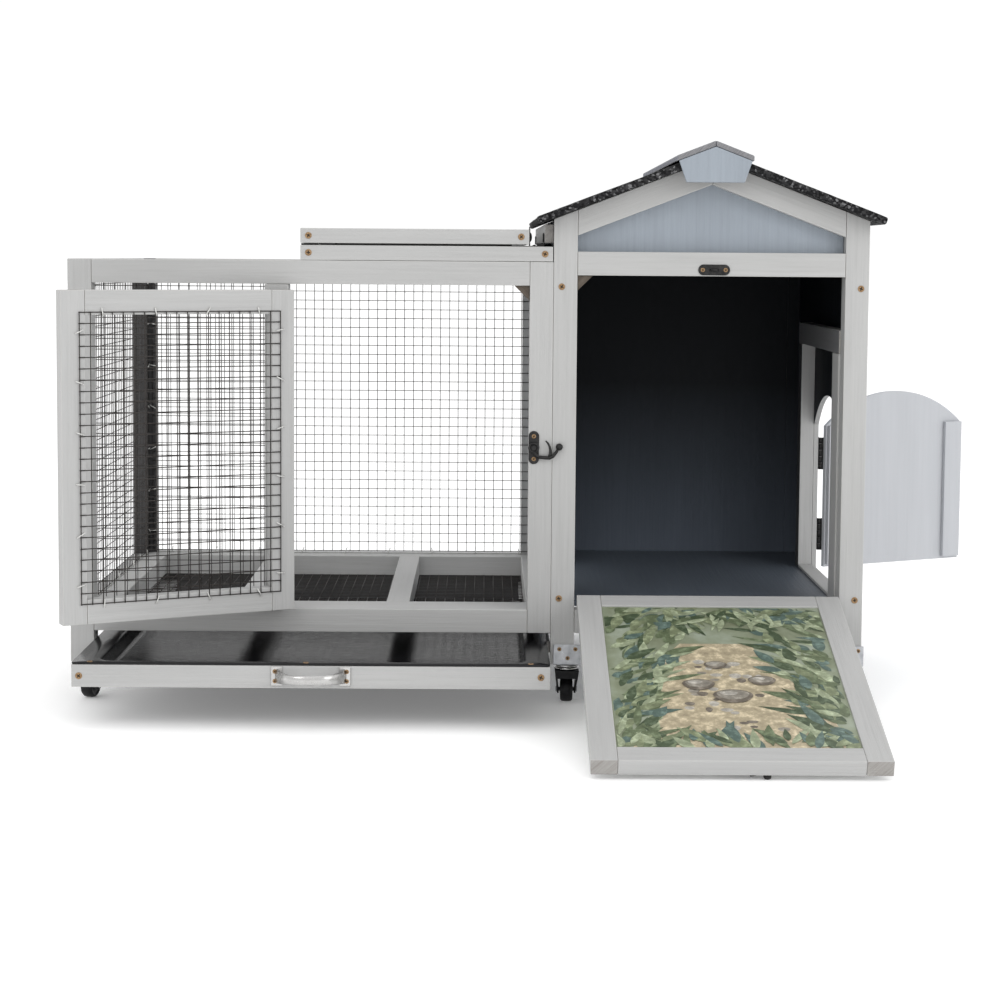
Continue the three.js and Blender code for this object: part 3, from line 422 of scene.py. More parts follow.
SILL = 0.040
CROSS_BATTEN_REACH = 0.093
floor_low, floor_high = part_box("run_floor_frame")
run_left_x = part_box("run_front_left_post")[0].x
inner_y0 = floor_low.y + SILL
inner_y1 = floor_high.y - BATTEN
batten("run_floor_front_sill", floor_low, (floor_high.x, inner_y0 - JOINT_GAP, floor_high.z),
       covers=["run_floor_frame"])
batten("run_floor_back_sill", (floor_low.x, inner_y1 + JOINT_GAP, floor_low.z), floor_high)
cross_x = (floor_low.x + floor_high.x - BATTEN) / 2
strips = (floor_low.x, cross_x - CROSS_BATTEN_REACH, cross_x + CROSS_BATTEN_REACH, floor_high.x - BATTEN)
for index, x in enumerate(strips):
    batten(f"run_floor_batten_{index}", (x, inner_y0, floor_low.z), (x + BATTEN, inner_y1, floor_high.z))

# Tray runners: one batten along each side of the drawer space, and a board across its back painted near black
# as shade
LEFT_RUNNER = 0.0282
RIGHT_RUNNER = 0.0312
RUNNER_FOOT = 0.0117
RUNNER_HEIGHT = 0.014
BACK_BOARD = 0.010
low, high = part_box("tray_runner_frame")
runner_z = low.z + RUNNER_FOOT
runner_top = runner_z + RUNNER_HEIGHT
runner_y = high.y - BACK_BOARD - JOINT_GAP
for side, x0, x1, covers in (("left", low.x, low.x + LEFT_RUNNER, ["tray_runner_frame"]),
                             ("right", high.x - RIGHT_RUNNER, high.x, ())):
    batten(f"tray_{side}_runner", (x0, low.y, runner_z), (x1, runner_y, runner_top), covers=covers)
batten("tray_back_board", (low.x, high.y - BACK_BOARD, low.z), high, slot="dark_interior_board",
       materials=[shade_dark_wood])

# --------------------------------------
# Wire panels: half-inch welded mesh of thin dark wire, cut a little larger than each window and
# held on the inner faces of the battens by white staples. The floor's wire is under its frame.
# --------------------------------------
PITCH = 0.0127
WIRE = 0.0010
DOOR_WIRE = 0.0012
WIRE_WANDER = 0.0002
STAPLE_SPACING = 0.060
STAPLE_REACH = 0.0043
STAPLE_SLANT = 0.0026
STAPLE_RADIUS = 0.0006


def speckled(name, color, other, roughness, metallic, scale):
    """A metal or moulded finish whose colour and roughness drift a little over the surface."""
    material, tree, shader = principled(name, color, roughness, metallic)
    place = texture_vector(tree, "Object")
    drift = noise_node(tree, place, scale, 4.0, 0.6)
    tree.links.new(ramp(tree, drift, [(0.35, color), (0.7, other)]), shader.inputs["Base Color"])
    rough = math_node(tree, "ADD", math_node(tree, "MULTIPLY", drift, 0.3), roughness - 0.15)
    tree.links.new(rough, shader.inputs["Roughness"])
    return material


wire_finish = speckled("dark_mesh_wire", (0.018, 0.015, 0.013), (0.045, 0.038, 0.034), 0.6, 0.2, 300.0)
staple_finish = speckled("white_staple_wire", (0.70, 0.70, 0.68), (0.58, 0.58, 0.56), 0.4, 0.2, 400.0)


def around(count):
    """Angles spaced evenly around a circle."""
    return [2 * math.pi * k / count for k in range(count)]


def skin(bm, rings, smooth=True, capped=True, looped=False):
    """Faces from each ring to the next, back to the first if looped, and over both ends if capped."""
    faces = []
    for a, b in zip(rings, rings[1:] + rings[:1] if looped else rings[1:]):
        for k in range(len(a)):
            n = (k + 1) % len(a)
            faces.append(bm.faces.new((a[k], a[n], b[n], b[k])))
            faces[-1].smooth = smooth
    if capped:
        faces += [bm.faces.new(list(reversed(rings[0]))), bm.faces.new(rings[-1])]
    return faces


def rod(bm, start, end, radius, sides=6):
    """A closed straight rod between two points, added to a bmesh."""
    start, end = Vector(start), Vector(end)
    axis = (end - start).normalized()
    side = axis.orthogonal().normalized()
    up = axis.cross(side)
    skin(bm, [[bm.verts.new(centre + (side * math.cos(t) + up * math.sin(t)) * radius) for t in around(sides)]
              for centre in (start, end)])


def wire_lines(low, high, axis):
    """Places of the wires that are spaced along an axis of a panel, centred in its box."""
    count = int((high[axis] - low[axis] - DOOR_WIRE) / PITCH)
    margin = (high[axis] - low[axis] - count * PITCH) / 2
    return [low[axis] + margin + k * PITCH for k in range(count + 1)]


def wire_panel(name, low, high, flat, body, covers, place=None, side=1.0, gauge=WIRE):
    """Welded mesh filling a box thin along the axis flat; side says which way its second layer lies."""
    first, second = [axis for axis in range(3) if axis != flat]
    middle = (low[flat] + high[flat]) / 2
    chance = random.Random(name)
    bm = bmesh.new()
    for along, across, layer in ((first, second, 0.0), (second, first, gauge * side)):
        ends = wire_lines(low, high, along)
        for line in wire_lines(low, high, across):
            points = []
            for reach in (ends[0] - gauge / 2, (ends[0] + ends[-1]) / 2, ends[-1] + gauge / 2):
                point = [0.0, 0.0, 0.0]
                point[along] = reach
                point[across] = line + chance.uniform(-WIRE_WANDER, WIRE_WANDER)
                point[flat] = middle + layer + chance.uniform(-WIRE_WANDER / 2, WIRE_WANDER / 2)
                points.append(point)
            rod(bm, points[0], points[1], gauge / 2)
            rod(bm, points[1], points[2], gauge / 2)
    add_piece(name, bm, [wire_finish], body, "mesh_wire", covers, place)


def staples(name, spots, flat, out, body, place=None):
    """Staples over a panel's outer wires at (point, across axis) spots, standing out along the axis flat."""
    chance = random.Random(name)
    bm = bmesh.new()
    for point, across in spots:
        along = 3 - across - flat
        reach = Vector((0.0, 0.0, 0.0))
        reach[across] = STAPLE_REACH
        reach[along] = chance.uniform(-STAPLE_SLANT, STAPLE_SLANT)
        raised = Vector(point)
        raised[flat] += out * 2 * STAPLE_RADIUS
        for direction in (1, -1):
            root = raised + reach * direction
            sunk = root.copy()
            sunk[flat] -= out * 0.0016
            rod(bm, root, sunk, STAPLE_RADIUS)
        rod(bm, raised - reach, raised + reach, STAPLE_RADIUS * 1.25)
    add_piece(name, bm, [staple_finish], body, "bright_chrome", place=place)


def rim_spots(low, high, flat):
    """Staple places around a panel, on its outermost wires."""
    first, second = [axis for axis in range(3) if axis != flat]
    middle = (low[flat] + high[flat]) / 2
    spots = []
    for along, across in ((first, second), (second, first)):
        count = max(2, round((high[along] - low[along]) / STAPLE_SPACING))
        lines = wire_lines(low, high, across)
        for end in (lines[0], lines[-1]):
            for k in range(count):
                point = [0.0, 0.0, 0.0]
                point[along] = low[along] + (high[along] - low[along]) * (k + 0.5) / count
                point[across] = end
                point[flat] = middle
                spots.append((point, across))
    return spots


PANELS = (
    ("run_back_mesh", 1, -1.0),
    ("run_left_mesh", 0, 1.0),
    ("run_front_mesh", 1, 1.0),
    ("run_floor_mesh", 2, 1.0),
)
for node, flat, out in PANELS:
    low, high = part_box(node)
    wire_panel(node + "_wires", low, high, flat, "hutch", [node], side=out)
    staples(node + "_staples", rim_spots(low, high, flat), flat, out, "hutch")

# --------------------------------------
# Screws: brass-coloured countersunk screws with a cross recess, sunk almost flush.
# --------------------------------------
SCREW_RADIUS = 0.004
# Shares of the head's radius: its rings' radius and height, then the recess's reach, half width and height
HEAD_RINGS = ((1.0, -0.12), (0.97, 0.12), (0.86, 0.20))
RECESS_RINGS = ((0.56, 0.15, 0.20), (0.46, 0.12, 0.05))
brass = speckled("screw_brass", (0.36, 0.235, 0.125), (0.20, 0.12, 0.06), 0.5, 0.6, 500.0)
# The cross recess is coloured near black as painted shadow
recess_shadow = principled("screw_recess_painted_shadow", (0.012, 0.009, 0.007), 0.8)[0]


def cross_outline(arm, half, z):
    """The outline of a cross with four equal arms, anticlockwise."""
    corners = ((half, -half), (arm, -half), (arm, half))
    return [Matrix.Rotation(t, 3, "Z") @ Vector((x, y, z)) for t in around(4) for x, y in corners]


def screw_head(bm, place, radius, sides=24):
    """One countersunk head with a cross recess, facing along the place matrix's Z."""
    loops = [[Vector((r * math.cos(t), r * math.sin(t), z)) * radius for t in around(sides)]
             for r, z in HEAD_RINGS]
    loops += [cross_outline(radius * arm, radius * half, radius * z) for arm, half, z in RECESS_RINGS]
    made = [[bm.verts.new(place @ p) for p in loop] for loop in loops]
    faces = skin(bm, made[:3], smooth=False, capped=False) + [bm.faces.new(list(reversed(made[0])))]
    order = made[2] + list(reversed(made[3]))
    for tri in tessellate_polygon([loops[2], list(reversed(loops[3]))]):
        faces.append(bm.faces.new([order[i] for i in tri]))
    hollow = skin(bm, made[3:], smooth=False, capped=False) + [bm.faces.new(made[4])]
    for f in hollow:
        f.material_index = 1
    bmesh.ops.recalc_face_normals(bm, faces=faces + hollow)


def screws(name, spots, outward, body, radius=SCREW_RADIUS):
    """A set of like screws at these points, facing outward."""
    chance = random.Random(name)
    turned = Vector(outward).to_track_quat("Z", "Y").to_matrix().to_4x4()
    bm = bmesh.new()
    for spot in spots:
        spun = Matrix.Rotation(chance.uniform(0, math.pi), 4, "Z")
        screw_head(bm, Matrix.Translation(spot) @ turned @ spun, radius)
    add_piece(name, bm, [brass, recess_shadow], body, "bright_chrome")


FRONT = (0.0, -1.0, 0.0)
SCREW_UP = 0.014
SCREW_IN = 0.0095
front_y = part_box("run_front_left_post")[0].y
rail_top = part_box("run_front_bottom_rail")[1].z
house_posts = [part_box("house_front_left_post"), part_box("house_front_right_post")]
top_rail_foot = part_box("house_front_top_rail")[0].z
post_spots = []
for (low, high), inset in zip(house_posts, (SCREW_IN, BATTEN - SCREW_IN)):
    post_spots.append((low.x + inset, front_y, top_rail_foot - 0.0135))
    post_spots.append((low.x + inset, front_y, rail_top + SCREW_UP))
screws("house_post_screws", post_spots, FRONT, "hutch")

# --------------------------------------
# House frame: four posts cut to the roof's slope, front rails, a bent pair of rafters that meet at
# the ridge, and the batten frame inside the right wall.
# --------------------------------------
ridge_x = (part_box("roof_left_panel")[1].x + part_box("roof_right_panel")[0].x) / 2
ridge_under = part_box("house_back_panel")[1].z
post_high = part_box("house_front_left_post")
slope = (ridge_under - post_high[1].z) / (ridge_x - post_high[1].x)


def roof_under(x):
    """Height of the roof boards' underside at x, less the gap that the frame keeps to it."""
    return ridge_under - abs(x - ridge_x) * slope


# The rear posts take the dark interior colour on the faces that look into the house, darkened towards the top
# as painted shade
DARK = ((0.096, 0.114, 0.144), (0.104, 0.123, 0.154), (0.112, 0.132, 0.164))
# Painted shade and painted bounce light by height: the colour is darkest towards the top of the house and
# lightest near its floor
SHADE_STOPS = ((0.13, 1.0), (0.24, 0.5), (0.36, 0.10), (0.55, 0.075))
PAINTED_SHADE_BY_HEIGHT = [(z, (tone, tone, tone)) for z, tone in SHADE_STOPS]
dark_post = painted_wood("dark_painted_post", *DARK, 0.55, bump=0.3, shade=PAINTED_SHADE_BY_HEIGHT)
for corner in ("front_left", "front_right", "back_left", "back_right"):
    node = f"house_{corner}_post"
    low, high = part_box(node)
    outline = [(low.x, low.z), (high.x, low.z), (high.x, roof_under(high.x)), (low.x, roof_under(low.x))]
    post = upright(node + "_wood", outline, low, high, (0, 0, 1), "hutch", "grey_painted_wood",
                   [grey_wood, grey_end_grain, dark_post], [node])
    inward = 1 if "left" in node else -1
    for face in post.data.polygons:
        if "back" in node and (face.normal.y < -0.5 or face.normal.x * inward > 0.5):
            face.material_index = 2
for node in ("house_front_top_rail", "house_front_bottom_rail"):
    low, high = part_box(node)
    batten(node + "_wood", low, high, covers=[node])

low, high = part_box("house_front_rafters")
rafter_drop = roof_under(low.x) - low.z
for side, x in (("left", low.x), ("right", high.x)):
    seam = ridge_x - JOINT_GAP if side == "left" else ridge_x + JOINT_GAP
    peak = ridge_under - rafter_drop
    outline = [(x, low.z), (seam, peak), (seam, ridge_under), (x, low.z + rafter_drop)]
    upright(f"house_{side}_rafter", outline, low, high, (seam - x, 0.0, peak - low.z), "hutch",
            "grey_painted_wood", covers=["house_front_rafters"] if side == "left" else ())

# The faces of the frame inside the right wall that look into the house are painted as shade: the top batten
# mid grey, the rear stile near black
SIDE_FRONT_STILE = 0.047
SIDE_SILL = 0.004
SHADE_GREY = ((0.12, 0.12, 0.125), (0.145, 0.145, 0.15), (0.165, 0.165, 0.17))
shade_grey_wood = painted_wood("dusky_inner_batten", *SHADE_GREY, 0.6)
low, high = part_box("house_right_frame")
frame_top = high.z - BATTEN
rear_y = high.y - BATTEN
sill_top = low.z + SIDE_SILL
SIDE_FRAME = (
    ("front_stile", (low.x, low.y, low.z), (high.x, low.y + SIDE_FRONT_STILE, frame_top), grey_wood),
    ("rear_stile", (low.x, rear_y, low.z), (high.x, high.y, frame_top), shade_dark_wood),
    ("top_batten", (low.x, low.y, frame_top + JOINT_GAP), high, shade_grey_wood),
    ("sill", (low.x, low.y + SIDE_FRONT_STILE + JOINT_GAP, low.z), (high.x, rear_y - JOINT_GAP, sill_top),
     grey_wood),
)
for tag, corner, far, inner in SIDE_FRAME:
    covers = ["house_right_frame"] if tag == "front_stile" else ()
    finishes = [grey_wood, grey_end_grain, inner]
    piece = batten("house_side_" + tag, corner, far, covers=covers, materials=finishes)
    for face in piece.data.polygons:
        if face.normal.x < -0.5:
            face.material_index = 2

# --------------------------------------
# House boards: thin fir ply. The gable and the outside of the side wall are stained blue-grey with
# upright grain; the inside of the house is painted very dark blue.
# --------------------------------------
BLUE = ((0.252, 0.283, 0.322), (0.270, 0.304, 0.345), (0.288, 0.324, 0.368))
blue_board = painted_wood("blue_grey_stained_board", *BLUE, 0.6, streak_scale=0.8, bump=0.7)
# The dark interior colour is darkened towards the top by painted shade
dark_board = painted_wood("dark_interior_board", *DARK, 0.55, source="Object", swap=(2, 0, 1), bump=0.3,
                          shade=PAINTED_SHADE_BY_HEIGHT)
FLOOR_DARK = ((0.080, 0.094, 0.116), (0.088, 0.104, 0.128), (0.096, 0.114, 0.140))
dark_floor = painted_wood("dark_floor_board", *FLOOR_DARK, 0.42, source="Object", swap=(1, 0, 2), bump=0.6)
jamb_grey = painted_wood("grey_jamb", *GREY, 0.6, source="Object", swap=(2, 1, 0), bump=0.4)
wall_blue = painted_wood("blue_grey_wall", *BLUE, 0.6, source="Object", swap=(2, 1, 0), streak_scale=0.8,
                         bump=0.7)

low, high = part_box("house_gable_panel")
eave_z = roof_under(low.x)
outline = [(low.x, low.z), (high.x, low.z), (high.x, eave_z), (ridge_x, high.z), (low.x, eave_z)]
upright("house_gable_board", outline, low, high, (0, 0, 1), "hutch", "blue_grey_board", [blue_board],
        ["house_gable_panel"])


def refinish(node, outside, inside=None, inward=None, edge=None):
    """Gives a carried node its finish, another on the faces that look inward, and one on its cut edges."""
    mesh = frame["nodes"][node].data
    mesh.materials.clear()
    for material in (outside, inside, edge):
        if material is not None:
            mesh.materials.append(material)
    for polygon in mesh.polygons if inside is not None else ():
        turned = polygon.normal.dot(Vector(inward))
        polygon.material_index = 1 if turned > 0.5 else 2 if edge is not None and turned > -0.5 else 0


refinish("house_back_panel", wall_blue, dark_board, (0, -1, 0))
refinish("house_left_panel", wall_blue, dark_board, (1, 0, 0))
refinish("house_right_panel", wall_blue, dark_board, (-1, 0, 0), jamb_grey)
refinish("house_floor_panel", dark_floor)

# Raw triangular braces, glued into the top corners of the run and the house
RAW = ((0.058, 0.044, 0.033), (0.082, 0.065, 0.050), (0.115, 0.094, 0.075))
raw_wood = painted_wood("raw_brace_wood", *RAW, 0.8)
BRACE = 0.018
BRACE_THICK = 0.012
BRACE_INSET = 0.004
BRACE_GAP = 0.0003
for name, post_x, rail_z, way in (
    ("house_corner_brace", house_posts[0][1].x, top_rail_foot, 1),
    ("run_corner_brace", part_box("run_front_right_post")[0].x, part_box("run_front_top_rail")[0].z, -1),
):
    x, y = post_x + way * BRACE_GAP, front_y + BRACE_INSET
    outline = [(x, y, rail_z - BRACE_GAP), (x + way * BRACE, y, rail_z - BRACE_GAP), (x, y, rail_z - BRACE)]
    board(name, outline, (0.0, BRACE_THICK, 0.0), (way, 0.0, 1.0), "hutch", "grey_painted_wood", [raw_wood],
          ease=0.0005)

# --------------------------------------
# Roof: two boards wrapped in bitumen felt with dark mineral grit. The felt's folded edges are soft
# and a little wavy.
# --------------------------------------
felt_finish, tree, shader = principled("mineral_felt", (0.05, 0.05, 0.052), 0.9)
place = texture_vector(tree, "Object")
grit = tree.nodes.new("ShaderNodeTexVoronoi")
grit.inputs["Scale"].default_value = 420.0
tree.links.new(place, grit.inputs["Vector"])
grit_color = tree.nodes.new("ShaderNodeSeparateColor")
tree.links.new(grit.outputs["Color"], grit_color.inputs[0])
cloud = noise_node(tree, place, 35.0, 4.0, 0.6)
tone = math_node(tree, "ADD", math_node(tree, "MULTIPLY", grit_color.outputs[0], 0.75),
                 math_node(tree, "MULTIPLY", cloud, 0.35))
GRIT = [(0.15, (0.003, 0.003, 0.003)), (0.5, (0.010, 0.010, 0.011)), (0.8, (0.035, 0.035, 0.036)),
        (0.98, (0.20, 0.20, 0.205))]
tree.links.new(ramp(tree, tone, GRIT), shader.inputs["Base Color"])
shader.inputs["Specular IOR Level"].default_value = 0.2
relief(tree, shader, tone, 0.9, 0.0009)

FELT_CELL = 0.009
FELT_ROUND = 0.0026
FELT_WAVE = 0.0005
FELT_LIFT = 0.0004
FELT_CORNER_STEPS = 4


def felt_slab(node):
    """A roof board under felt: its rounded section swept from front to back, with a gently uneven skin."""
    low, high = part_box(node)
    way = -1 if node == "roof_left_panel" else 1
    sine = slope / math.sqrt(1 + slope * slope)
    cosine = 1 / math.sqrt(1 + slope * slope)
    rise = high.z - low.z
    run = high.x - low.x
    thick = (rise - run * slope) * cosine
    length = (run - thick * sine) / cosine
    section = []
    corners = ((length - FELT_ROUND, thick - FELT_ROUND, 0), (FELT_ROUND, thick - FELT_ROUND, 1),
               (FELT_ROUND, FELT_ROUND, 2), (length - FELT_ROUND, FELT_ROUND, 3))
    for u, w, quarter in corners:
        for k in range(FELT_CORNER_STEPS + 1):
            angle = math.pi / 2 * (quarter + k / FELT_CORNER_STEPS)
            section.append((u + FELT_ROUND * math.cos(angle), w + FELT_ROUND * math.sin(angle)))
        if quarter in (0, 2):
            cells = round((length - 2 * FELT_ROUND) / FELT_CELL)
            reach = (length - 2 * FELT_ROUND) * (-1 if quarter == 0 else 1)
            section += [(u + reach * k / cells, section[-1][1]) for k in range(1, cells)]
    foot = Vector((ridge_x, 0.0, ridge_under))
    down = Vector((way * cosine, 0.0, -sine))
    up = Vector((way * sine, 0.0, cosine))
    eave = low.x if way < 0 else high.x
    start = abs(eave - ridge_x) / cosine - length - thick * sine / cosine
    rows = [(0.0, 0.45), (0.0006, 0.15), (FELT_ROUND, 0.0)]
    cells = round((high.y - low.y) / FELT_CELL)
    ys = [(low.y + y, shrink) for y, shrink in rows]
    ys += [(low.y + (high.y - low.y) * k / cells, 0.0) for k in range(1, cells)]
    ys += [(high.y - y, shrink) for y, shrink in reversed(rows)]
    bm = bmesh.new()
    rings = []
    for y, shrink in ys:
        ring = []
        for u, w in section:
            u += (length / 2 - u) / length * 2 * FELT_ROUND * shrink
            w += (thick / 2 - w) / thick * 2 * FELT_ROUND * shrink
            wave = FELT_WAVE * noise.noise(Vector((u * 18, y * 14, w * 60 + way)))
            wave += FELT_WAVE / 2 * noise.noise(Vector((u * 90, y * 90, w * 90 + way)))
            spot = foot + down * (start + u + wave) + up * (w + wave + FELT_LIFT)
            ring.append(bm.verts.new(spot + Vector((0.0, y, 0.0))))
        rings.append(ring)
    skin(bm, rings)
    solid_piece(node.replace("panel", "felt"), bm, felt_finish, "hutch", "roofing_felt", [node])


felt_slab("roof_left_panel")
felt_slab("roof_right_panel")

# --------------------------------------
# Ridge cap: two grey boards laid over the felt along the ridge, with a five-sided blue-grey plate
# nailed across each end.
# --------------------------------------
CAP_BOARD = 0.006
CAP = ((0.150, 0.156, 0.186), (0.172, 0.179, 0.212), (0.195, 0.202, 0.238))
cap_board = painted_wood("ridge_cap_board", *CAP, 0.7, worn=(0.27, 0.27, 0.28))
CAP_EDGE = ((0.12, 0.12, 0.13), (0.19, 0.19, 0.20), (0.27, 0.27, 0.28))
cap_edge = painted_wood("rough_cap_edge", *CAP_EDGE, 0.85, streak_scale=2.5, bump=1.2)
low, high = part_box("ridge_cap")
plate_low, plate_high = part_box("ridge_front_plate")
half = (high.x - low.x) / 2
cap_rise = half * slope
cap_thick = CAP_BOARD * math.sqrt(1 + slope * slope)
for side, way in (("left", -1), ("right", 1)):
    edge_x = ridge_x + way * half
    seam = ridge_x + way * JOINT_GAP
    eave_z = high.z - cap_rise
    outline = [(seam, high.z), (edge_x, eave_z), (edge_x, eave_z - cap_thick), (seam, high.z - cap_thick)]
    upright(f"ridge_{side}_board", outline, low, high, (0, 1, 0), "hutch", "blue_grey_board",
            [cap_board, cap_edge], ["ridge_cap"] if side == "left" else (), ease=0.0014)
plate_half = (plate_high.x - plate_low.x) / 2
FOOT_HALF = 0.034
PLATE_GAP = 0.0004
peak = high.z - cap_thick - PLATE_GAP
shoulder = peak - plate_half * slope
back_y = high.y - 0.0003
front_end = (plate_low, plate_high, ["ridge_front_plate"])
back_end = (Vector((0.0, back_y, 0.0)), Vector((0.0, back_y + plate_low.y - plate_high.y, 0.0)), ())
for end, (near, far, covers) in (("front", front_end), ("back", back_end)):
    outline = [(ridge_x - FOOT_HALF, plate_low.z), (ridge_x + FOOT_HALF, plate_low.z),
               (ridge_x + plate_half, shoulder), (ridge_x, peak), (ridge_x - plate_half, shoulder)]
    upright(f"ridge_{end}_plate_wood", outline, near, far, (0, 0, 1), "hutch", "blue_grey_board",
            [blue_board], covers, ease=0.001)

# --------------------------------------
# Mesh door of the run: four battens with the stiles running through, wire on the inner face, and
# two black butt hinges on the middle post. It stands swung open to the left.
# --------------------------------------
joints = {j["name"]: j for j in frame["joints"]}


def swing(name, share):
    """The turn of a hinge by a share of the way from rest to its far limit."""
    joint = joints[name]
    pivot = Vector(joint["pos_m"])
    angle = math.radians(joint["range_deg"][1]) * share
    spin = Matrix.Rotation(angle, 4, Vector(joint["axis"]))
    return Matrix.Translation(pivot) @ spin @ Matrix.Translation(-pivot)


def shut_box(node, joint):
    """The box of a node in the pose where its hinge is shut."""
    shut = swing(joint, 1.0)
    points = [shut @ v.co for v in frame["nodes"][node].data.vertices]
    return tuple(Vector([pick(p[i] for p in points) for i in range(3)]) for pick in (min, max))


black_steel = speckled("black_coated_steel", (0.012, 0.012, 0.013), (0.035, 0.034, 0.033), 0.42, 0.6, 260.0)


def plate(bm, low, high, ease=0.0004):
    """A thin plate with eased edges, added to a bmesh."""
    made = bmesh.ops.create_cube(bm, size=1.0)["verts"]
    size = Vector(high) - Vector(low)
    bmesh.ops.scale(bm, vec=size, verts=made)
    bmesh.ops.translate(bm, vec=(Vector(low) + Vector(high)) / 2, verts=made)
    edges = list({e for v in made for e in v.link_edges})
    bmesh.ops.bevel(bm, geom=edges, offset=ease, segments=1, affect="EDGES")


HINGE_LENGTH = 0.032
LEAF = 0.011
LEAF_GAP = 0.001
LEAF_SHEET = 0.0014
KNUCKLE = 0.0022
KNUCKLES = 5
KNUCKLE_GAP = 0.0002


def hinge(name, pivot, length, axis, leaves, bodies, place=None, knuckle=KNUCKLE):
    """A butt hinge: a barrel of knuckles on its pivot line, and a leaf box on its fixed and moving bodies."""
    along = Vector((0.0, 0.0, 0.0))
    along[axis] = 1.0
    for order, tag in enumerate(("fixed", "moving")):
        bm = bmesh.new()
        plate(bm, *leaves[order])
        for k in range(order, KNUCKLES, 2):
            start = Vector(pivot) + along * (length * (k / KNUCKLES - 0.5) + KNUCKLE_GAP)
            rod(bm, start, start + along * (length / KNUCKLES - 2 * KNUCKLE_GAP), knuckle, 14)
        add_piece(f"{name}_{tag}_leaf", bm, [black_steel], bodies[order], "black_hardware",
                  place=place if order else None)


def surface_hinges(door, spots, axis, spread, face, way, length, place):
    """Hinges with their leaves on a face, spread either side of the door's pivot line; way is the door's."""
    flat = 3 - axis - spread
    pivot = Vector(joints[door + "_hinge"]["pos_m"])
    for tag, centre in spots:
        pivot[axis] = centre
        leaves = []
        for side in (-way, way):
            low, high = pivot.copy(), pivot.copy()
            low[axis] -= length / 2
            high[axis] += length / 2
            low[flat], high[flat] = face
            low[spread] += min(side * LEAF, side * LEAF_GAP)
            high[spread] += max(side * LEAF, side * LEAF_GAP)
            leaves.append((low, high))
        hinge(f"{door}_{tag}_hinge", pivot, length, axis, leaves, ("hutch", door), place)


front_face = (front_y - LEAF_SHEET, front_y - JOINT_GAP)


rest_from_shut = swing("mesh_door_hinge", -1.0)
low, high = shut_box("mesh_door_frame", "mesh_door_hinge")
wall_frame("mesh_door_wood", low, high, 0, "mesh_door", ["mesh_door_frame"], place=rest_from_shut)
wire_low, wire_high = shut_box("mesh_door_mesh", "mesh_door_hinge")
wire_panel("mesh_door_wires", wire_low, wire_high, 1, "mesh_door", ["mesh_door_mesh"], place=rest_from_shut,
           gauge=DOOR_WIRE)
staples("mesh_door_staples", rim_spots(wire_low, wire_high, 1), 1, 1.0, "mesh_door", place=rest_from_shut)
surface_hinges("mesh_door", (("upper", high.z - 0.045), ("lower", low.z + 0.045)), 2, 0, front_face, 1,
               HINGE_LENGTH, rest_from_shut)

# --------------------------------------
# Drop door of the house: four battens round a thin printed board, let down as a ramp on two black
# hinges. The stiles' end grain shows at the free end.
# --------------------------------------
rest_from_shut = swing("drop_door_hinge", -1.0)
low, high = shut_box("drop_door_frame", "drop_door_hinge")
wall_frame("drop_door_wood", low, high, 0, "drop_door", ["drop_door_frame"], place=rest_from_shut)
print_low, print_high = shut_box("drop_door_picture_panel", "drop_door_hinge")
print_ground, tree, shader = principled("print_ground", (0.24, 0.27, 0.19), 0.5)
wash = noise_node(tree, texture_vector(tree, "UV"), 14.0, 4.0, 0.6)
WASH = [(0.32, (0.16, 0.18, 0.11)), (0.5, (0.23, 0.26, 0.18)), (0.68, (0.32, 0.36, 0.29))]
tree.links.new(ramp(tree, wash, WASH), shader.inputs["Base Color"])
outline = [(print_low.x, print_low.z), (print_high.x, print_low.z), (print_high.x, print_high.z),
           (print_low.x, print_high.z)]
upright("drop_door_print_board", outline, print_low, print_high, (0, 0, 1), "drop_door", "printed_board",
        [print_ground], ["drop_door_picture_panel"], rest_from_shut, ease=0.0002)

# The print: a pale path between clumps of broad painted leaves, with pebbles and round grey-brown stones
LEAF_TONES = ((0.060, 0.085, 0.045), (0.11, 0.14, 0.075), (0.18, 0.21, 0.12), (0.27, 0.31, 0.20),
              (0.085, 0.13, 0.11))
STONE_TONES = ((0.14, 0.12, 0.095), (0.24, 0.22, 0.185), (0.36, 0.34, 0.30))


def ink(name, color):
    """Watercolour ink: one hue that pools and thins over each mark."""
    material, tree, shader = principled(name, color, 0.45)
    pool = noise_node(tree, texture_vector(tree, "UV"), 90.0, 4.0, 0.65)
    thin = tuple(min(1.0, c * 1.8 + 0.05) for c in color)
    thick = tuple(c * 0.7 for c in color)
    tree.links.new(ramp(tree, pool, [(0.3, thick), (0.5, color), (0.72, thin)]), shader.inputs["Base Color"])
    return material


inks = [ink(f"print_leaf_ink_{k}", tone) for k, tone in enumerate(LEAF_TONES)]
inks += [ink(f"print_stone_ink_{k}", tone) for k, tone in enumerate(STONE_TONES)]
inks.append(ink("print_path_ink", (0.40, 0.34, 0.23)))
FIRST_STONE = len(LEAF_TONES)
PATH_INK = len(inks) - 1
PRINT_MARGIN = 0.0055
INK_LIFT = 0.00005
INK_LAYER = 0.0000015
chance = random.Random("print")
bm = bmesh.new()
uv = bm.loops.layers.uv.new("grain")
span_x = print_high.x - print_low.x - 2 * PRINT_MARGIN
span_z = print_high.z - print_low.z - 2 * PRINT_MARGIN


def mark(points, tone):
    """One flat printed mark, a hair above the marks before it."""
    layer = len(bm.faces) + 1
    verts = []
    for u, v in points:
        x = print_low.x + PRINT_MARGIN + min(max(u, 0.0), 1.0) * span_x
        z = print_high.z - PRINT_MARGIN - min(max(v, 0.0), 1.0) * span_z
        verts.append(bm.verts.new((x, print_high.y + INK_LIFT + layer * INK_LAYER, z)))
    face = bm.faces.new(verts)
    face.material_index = tone
    for loop in face.loops:
        loop[uv].uv = (loop.vert.co.x + layer * 0.37, loop.vert.co.z + layer * 0.11)


